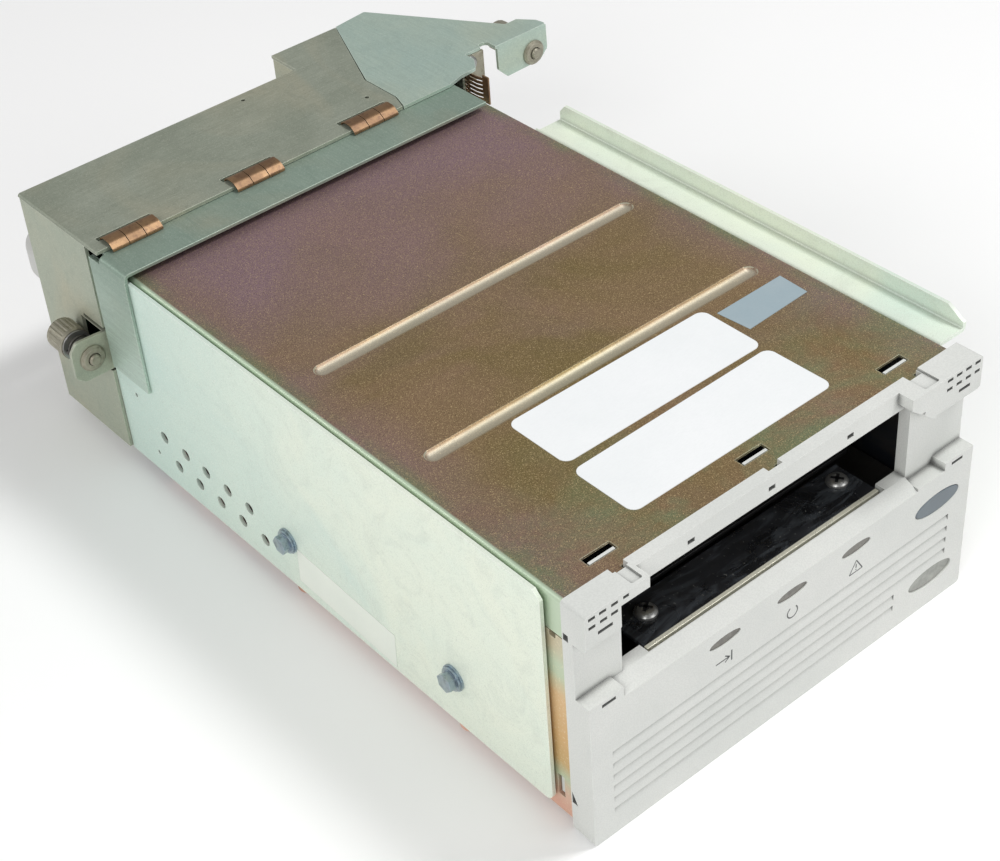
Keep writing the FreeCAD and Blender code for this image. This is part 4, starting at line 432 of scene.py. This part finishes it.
LOOK = {
    "mouth": mouth_mat(),
    "bezel": plastic("bezel_plastic_look", srgb(212, 214, 210), srgb(220, 221, 217), 0.55, 0.26, 2200, 0.35, 0.22, 0.45, 0.0, 0.26),
    "button": plastic("button_plastic_look", srgb(106, 116, 122), srgb(96, 106, 114), 0.4, 0.1, 3000, 0.5, 0.12, 0.3),
    "status": window_mat("status_window_look", srgb(150, 152, 144), srgb(126, 128, 121), srgb(60, 60, 56)),
    "led": window_mat("led_window_look", srgb(112, 109, 100), srgb(88, 85, 77), srgb(50, 47, 42), 420),
    "cover": cover_mat(),
    "chassis": chassis_mat(),
    "side": zinc("side_plate_look", srgb(230, 240, 226), srgb(236, 242, 226), srgb(206, 226, 218), srgb(250, 252, 244), srgb(250, 252, 244), 0.25, 0.42, 26.0, tint=(1, -0.01, 0.14, 0.8, srgb(196, 222, 214))),
    "flange": zinc("flange_look", srgb(236, 244, 226), srgb(228, 240, 226), srgb(204, 228, 218), srgb(250, 252, 246), srgb(250, 252, 246), 0.2, 0.36, 20.0),
    "lid": zinc("rear_lid_look", srgb(148, 155, 139), srgb(162, 168, 153), srgb(182, 176, 152), srgb(206, 208, 192), srgb(216, 222, 206), 0.45, 0.42, 40.0, "x"),
    "box": zinc("rear_box_look", srgb(164, 172, 155), srgb(174, 178, 160), srgb(182, 176, 150), srgb(212, 214, 196), srgb(222, 226, 210), 0.45, 0.42, 45.0),
    "bridge": zinc("bridge_look", srgb(142, 162, 148), srgb(152, 170, 156), srgb(166, 168, 148), srgb(200, 212, 202), srgb(216, 226, 214), 0.5, 0.4, 40.0, "y", tint=(2, 0.084, 0.045, 0.9, srgb(200, 220, 208))),
    "top": zinc("rear_top_plate_look", srgb(176, 197, 187), srgb(182, 199, 186), srgb(192, 194, 168), srgb(216, 226, 216), srgb(228, 236, 226), 0.45, 0.4, 36.0, "y"),
    "paper": paper_mat("paper_look", srgb(240, 242, 243), srgb(234, 237, 238)),
    "foil": paper_mat("foil_look", srgb(182, 202, 211), srgb(196, 210, 216), 0.3, 0.5, 0.5, 0.1),
    "clear_label": paper_mat("side_label_look", srgb(236, 240, 230), srgb(228, 234, 224), 0.35),
    "black_steel": plain_metal("black_steel_look", srgb(30, 30, 31), srgb(40, 40, 41), 0.2, 0.4, "x", 0.15),
    "steel": plain_metal("steel_look", srgb(176, 176, 174), srgb(160, 160, 158), 0.8, 0.32),
    "blue_zinc": plain_metal("blue_zinc_look", srgb(150, 168, 186), srgb(176, 184, 176), 0.75, 0.3, "z", 0.5, srgb(96, 104, 108)),
    "board": board_mat(),
    "black_plastic": plastic("black_plastic_look", srgb(30, 30, 30), srgb(38, 38, 38), 0.45, 0.15, 2600, 0.5, 0.2),
    "white_plastic": plastic("white_plastic_look", srgb(226, 222, 208), srgb(216, 212, 198), 0.4, 0.06, 1800, 0.5, 0.1),
    "grey_plastic": plastic("grey_plastic_look", srgb(198, 198, 194), srgb(188, 188, 186), 0.5, 0.14, 2400, 0.4, 0.12),
    "copper": plain_metal("copper_look", srgb(142, 112, 80), srgb(116, 88, 64), 0.6, 0.42, "y", 0.35, srgb(96, 70, 54)),
    "beige_zinc": plain_metal("beige_zinc_look", srgb(168, 164, 146), srgb(148, 144, 130), 0.6, 0.42, "x", 0.5, srgb(120, 112, 96)),
    "dark_metal": plain_metal("dark_metal_look", srgb(96, 94, 90), srgb(82, 80, 78), 0.6, 0.45, "x", 0.3),
}
USE = {
    "bezel": "bezel", "eject_button": "button", "status_window": "status", "led_windows": "led", "top_cover": "cover", "label_main": "paper",
    "label_serial": "paper", "label_foil": "foil", "side_label": "clear_label", "base_chassis": "chassis", "deck_plate": "dark_metal",
    "mouth_floor_plate": "mouth", "floor_plate_screws": "steel", "receiver": "black_steel", "cam_slider": "steel", "load_gear": "white_plastic",
    "load_motor": "dark_metal", "supply_motor": "dark_metal", "supply_hub": "white_plastic", "take_up_motor": "dark_metal", "take_up_reel": "black_plastic",
    "guide_roller_1": "steel", "guide_roller_2": "steel", "guide_roller_3": "steel", "guide_roller_4": "steel", "roller_posts": "steel",
    "head_stepper": "dark_metal", "head_screw": "steel", "head_carriage": "black_plastic", "tape_head": "steel", "head_guide_rods": "steel",
    "main_board": "board", "left_side_plate": "side", "right_side_plate": "flange", "side_screws": "blue_zinc", "lock_washers": "blue_zinc",
    "rear_box_shell": "box", "rear_lid": "lid", "rear_top_plate": "top", "front_bridge": "bridge", "emi_clips": "copper", "finger_strip": "copper",
    "corner_bracket": "beige_zinc", "bracket_screw": "steel", "captive_screw_left": "beige_zinc", "captive_screw_right": "beige_zinc",
    "captive_washer_left": "steel", "captive_washer_right": "steel", "captive_spring_left": "dark_metal", "captive_spring_right": "dark_metal",
    "captive_bushes": "beige_zinc", "interface_board": "board", "data_connectors": "black_plastic", "power_connector": "white_plastic",
    "fan_frame": "black_plastic", "fan_rotor": "black_plastic", "fan_guard": "steel", "rear_handle": "grey_plastic", "handle_screws": "blue_zinc",
}


# ---------------------------------------------------------------- rounded edges on the CAD nodes
def smooth_group():
    g = bpy.data.node_groups.new("round_shading", "GeometryNodeTree")
    g.interface.new_socket("Geometry", in_out="INPUT", socket_type="NodeSocketGeometry")
    g.interface.new_socket("Geometry", in_out="OUTPUT", socket_type="NodeSocketGeometry")
    i, o = g.nodes.new("NodeGroupInput"), g.nodes.new("NodeGroupOutput")
    s1 = g.nodes.new("GeometryNodeSetShadeSmooth"); s1.domain = "FACE"
    s1.inputs["Shade Smooth"].default_value = True
    s2 = g.nodes.new("GeometryNodeSetShadeSmooth"); s2.domain = "EDGE"
    s2.inputs["Shade Smooth"].default_value = False
    ea = g.nodes.new("GeometryNodeInputMeshEdgeAngle")
    c = g.nodes.new("FunctionNodeCompare"); c.data_type = "FLOAT"; c.operation = "GREATER_THAN"
    c.inputs[1].default_value = math.radians(48)
    g.links.new(ea.outputs[0], c.inputs[0])
    g.links.new(i.outputs[0], s1.inputs[0])
    g.links.new(s1.outputs[0], s2.inputs[0])
    g.links.new(c.outputs[0], s2.inputs["Selection"])
    g.links.new(s2.outputs[0], o.inputs[0])
    return g


SMOOTH = smooth_group()
BEVEL = {"bezel": 0.35, "top_cover": 0.3, "left_side_plate": 0.14, "right_side_plate": 0.2, "rear_box_shell": 0.25, "rear_lid": 0.25, "rear_top_plate": 0.22,
         "front_bridge": 0.2, "eject_button": 0.3, "status_window": 0.3, "led_windows": 0.2, "mouth_floor_plate": 0.15, "receiver": 0.2,
         "captive_screw_left": 0.2, "captive_screw_right": 0.2, "floor_plate_screws": 0.12, "base_chassis": 0.2, "fan_frame": 0.3,
         "power_connector": 0.2, "data_connectors": 0.2, "corner_bracket": 0.12, "side_screws": 0.15, "handle_screws": 0.15, "bracket_screw": 0.12}
for name, ob in N.items():
    me = ob.data
    at = me.attributes.get("custom_normal")
    if at is not None:
        me.attributes.remove(at)
    me.materials.clear()
    me.materials.append(LOOK[USE[name]])
    w = ob.modifiers.new("weld", "WELD")
    w.merge_threshold = 2e-6
    if name in BEVEL:
        d = ob.modifiers.new("flats", "DECIMATE")
        d.decimate_type = "DISSOLVE"
        d.angle_limit = math.radians(0.6)
        b = ob.modifiers.new("edge_radius", "BEVEL")
        b.width = BEVEL[name] * MM
        b.segments = 2
        b.limit_method = "ANGLE"
        b.angle_limit = math.radians(38)
        b.use_clamp_overlap = True
        b.loop_slide = True
    s = ob.modifiers.new("shade", "NODES")
    s.node_group = SMOOTH
    wn = ob.modifiers.new("normals", "WEIGHTED_NORMAL")
    wn.keep_sharp = True
    wn.weight = 60


# ---------------------------------------------------------------- new thin pieces
def piece(name, verts, faces, mat, body):
    me = bpy.data.meshes.new(name)
    me.from_pydata(verts, [], faces)
    me.update()
    bm = bmesh.new()
    bm.from_mesh(me)
    bmesh.ops.recalc_face_normals(bm, faces=bm.faces)
    bm.to_mesh(me)
    bm.free()
    me.materials.append(mat)
    ob = bpy.data.objects.new(name, me)
    bpy.context.scene.collection.objects.link(ob)
    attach(ob, body)
    return ob


def ink(polys, y0, y1):
    """Closed prisms of outlines in X-Z between two depths, millimetres in drawing axes."""
    vs, fs = [], []
    for pts in polys:
        k = len(vs)
        n = len(pts)
        for yy in (y0, y1):
            vs += [(a * MM, (yy + DY) * MM, b * MM) for a, b in pts]
        fs += [tuple(range(k, k + n)), tuple(range(k + 2 * n - 1, k + n - 1, -1))]
        fs += [(k + i, k + (i + 1) % n, k + n + (i + 1) % n, k + n + i) for i in range(n)]
    return vs, fs


def bar(x0, z0, x1, z1, w):
    dx, dz = x1 - x0, z1 - z0
    l = math.hypot(dx, dz)
    ox, oz = -dz / l * w / 2, dx / l * w / 2
    return [(x0 + ox, z0 + oz), (x1 + ox, z1 + oz), (x1 - ox, z1 - oz), (x0 - ox, z0 - oz)]


INK = plastic("pad_print_look", srgb(96, 98, 98), srgb(84, 86, 86), 0.6, 0.1, 2600, 0.3, 0.2)
icons = [bar(-29.4, 35.6, -24.4, 35.6, 0.42), bar(-25.9, 36.8, -24.1, 35.5, 0.42), bar(-25.9, 34.4, -24.1, 35.7, 0.42), bar(-23.4, 33.7, -23.4, 37.5, 0.5)]
for i in range(22):
    a0, a1 = math.radians(118 + i * 13.8), math.radians(118 + (i + 1) * 13.8 + 1)
    if i < 21:
        icons.append(bar(0.2 + 2.0 * math.cos(a0), 35.6 + 2.0 * math.sin(a0), 0.2 + 2.0 * math.cos(a1), 35.6 + 2.0 * math.sin(a1), 0.42))
tri = [(26.0, 38.1), (28.7, 33.8), (23.3, 33.8)]
for i in range(3):
    (ax, az), (bx, bz) = tri[i], tri[(i + 1) % 3]
    icons.append(bar(ax, az, bx, bz, 0.36))
icons += [bar(26.0, 36.7, 26.0, 35.2, 0.4), bar(26.0, 34.75, 26.0, 34.4, 0.4)]
v, f = ink(icons, -8.962, -8.90)
piece("front_icons", v, f, INK, "drive_and_sled")


# painted shade: a flat dark cross on each screw head stands in for its shaded cross recess
def recess(cx, cy, z, r):
    """A cross lying on a screw head, metres."""
    vs, fs = [], []
    t = 0.00003
    for ax in (0.6, 0.6 + math.pi / 2):
        c, q = math.cos(ax), math.sin(ax)
        l, w = r * 0.52, r * 0.13
        m = len(vs)
        for zz in (z, z + t):
            for a, b in ((-l, -w), (l, -w), (l, w), (-l, w)):
                vs.append((cx + a * c - b * q, cy + a * q + b * c, zz))
        fs += [(m, m + 3, m + 2, m + 1), (m + 4, m + 5, m + 6, m + 7)]
        fs += [(m + i, m + (i + 1) % 4, m + 4 + (i + 1) % 4, m + 4 + i) for i in range(4)]
    return vs, fs


fs_lo, fs_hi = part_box("floor_plate_screws")
head_r = (fs_hi[1] - fs_lo[1]) / 2
# painted shade colour for the screw recess crosses
RECESS_SHADE = plastic("screw_recess_shade_look", srgb(24, 24, 25), srgb(30, 30, 31), 0.6, 0.1, 2600, 0.3, 0.1)
rv, rf = [], []
for cx in (fs_lo[0] + head_r, fs_hi[0] - head_r):
    v, f = recess(cx, (fs_lo[1] + fs_hi[1]) / 2, fs_hi[2] - 0.00001, head_r)
    n0 = len(rv)
    rv += v
    rf += [tuple(i + n0 for i in q) for q in f]
piece("mouth_screw_recesses", rv, rf, RECESS_SHADE, "drive_and_sled")


# ---------------------------------------------------------------- springs copied into coil objects of their own, CAD springs hidden
for side in ("left", "right"):
    nm = "captive_spring_" + side
    sp = bpy.data.objects.new("coil_" + side, N[nm].data.copy())
    bpy.context.scene.collection.objects.link(sp)
    sn = sp.modifiers.new("shade", "NODES")
    sn.node_group = SMOOTH
    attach(sp, "drive_and_sled")
    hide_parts(nm)
    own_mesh(sp)


# ---------------------------------------------------------------- floor and light
def floor():
    me = bpy.data.meshes.new("floor")
    s, zf = 4.0, -0.0017
    me.from_pydata([(-s, -s, zf), (s, -s, zf), (s, s, zf), (-s, s, zf)], [], [(0, 1, 2, 3)])
    k = Mat("floor_look")
    n = k.noise(3.0, 3, 0.5)
    col = k.mix(k.ramp(n, [(0.3, 0.0), (0.7, 1.0)]), (0.97, 0.97, 0.97), (0.98, 0.98, 0.98))
    k.bump(k.noise(900, 2, 0.5), 0.03, 0.0001)
    me.materials.append(k.done(col, 0.7, 0.0, 0.2))
    ob = bpy.data.objects.new("floor", me)
    bpy.context.scene.collection.objects.link(ob)


floor()


def area(name, loc, target, size, energy, color=(1, 1, 1)):
    li = bpy.data.lights.new(name, "AREA")
    li.shape = "RECTANGLE"
    li.size, li.size_y = size
    li.energy = energy
    li.color = color
    ob = bpy.data.objects.new(name, li)
    ob.location = loc
    d = Vector(target) - Vector(loc)
    ob.rotation_euler = d.to_track_quat("-Z", "Y").to_euler()
    bpy.context.scene.collection.objects.link(ob)


area("key", (-1.3, -0.7, 1.0), (0, 0, 0.03), (0.8, 0.8), 10.0, (1.0, 1.0, 0.99))
area("front_fill", (0.6, -1.6, 0.8), (0, 0, 0.03), (1.0, 0.8), 5.5, (1.0, 1.0, 1.0))
area("top", (0.62, -0.32, 1.35), (0, 0, 0), (0.36, 0.36), 10.0, (1.0, 1.0, 1.0))
area("rear_left", (-1.3, 1.2, 0.95), (0, 0, 0.05), (0.7, 0.5), 5.0, (1.0, 1.0, 1.0))
w = bpy.data.worlds.new("studio")
bpy.context.scene.world = w
w.use_nodes = True
bg = w.node_tree.nodes.get("Background")
bg.inputs[0].default_value = (1.0, 1.0, 1.0, 1)
bg.inputs[1].default_value = 0.38
bpy.context.scene.view_settings.view_transform = "Standard"
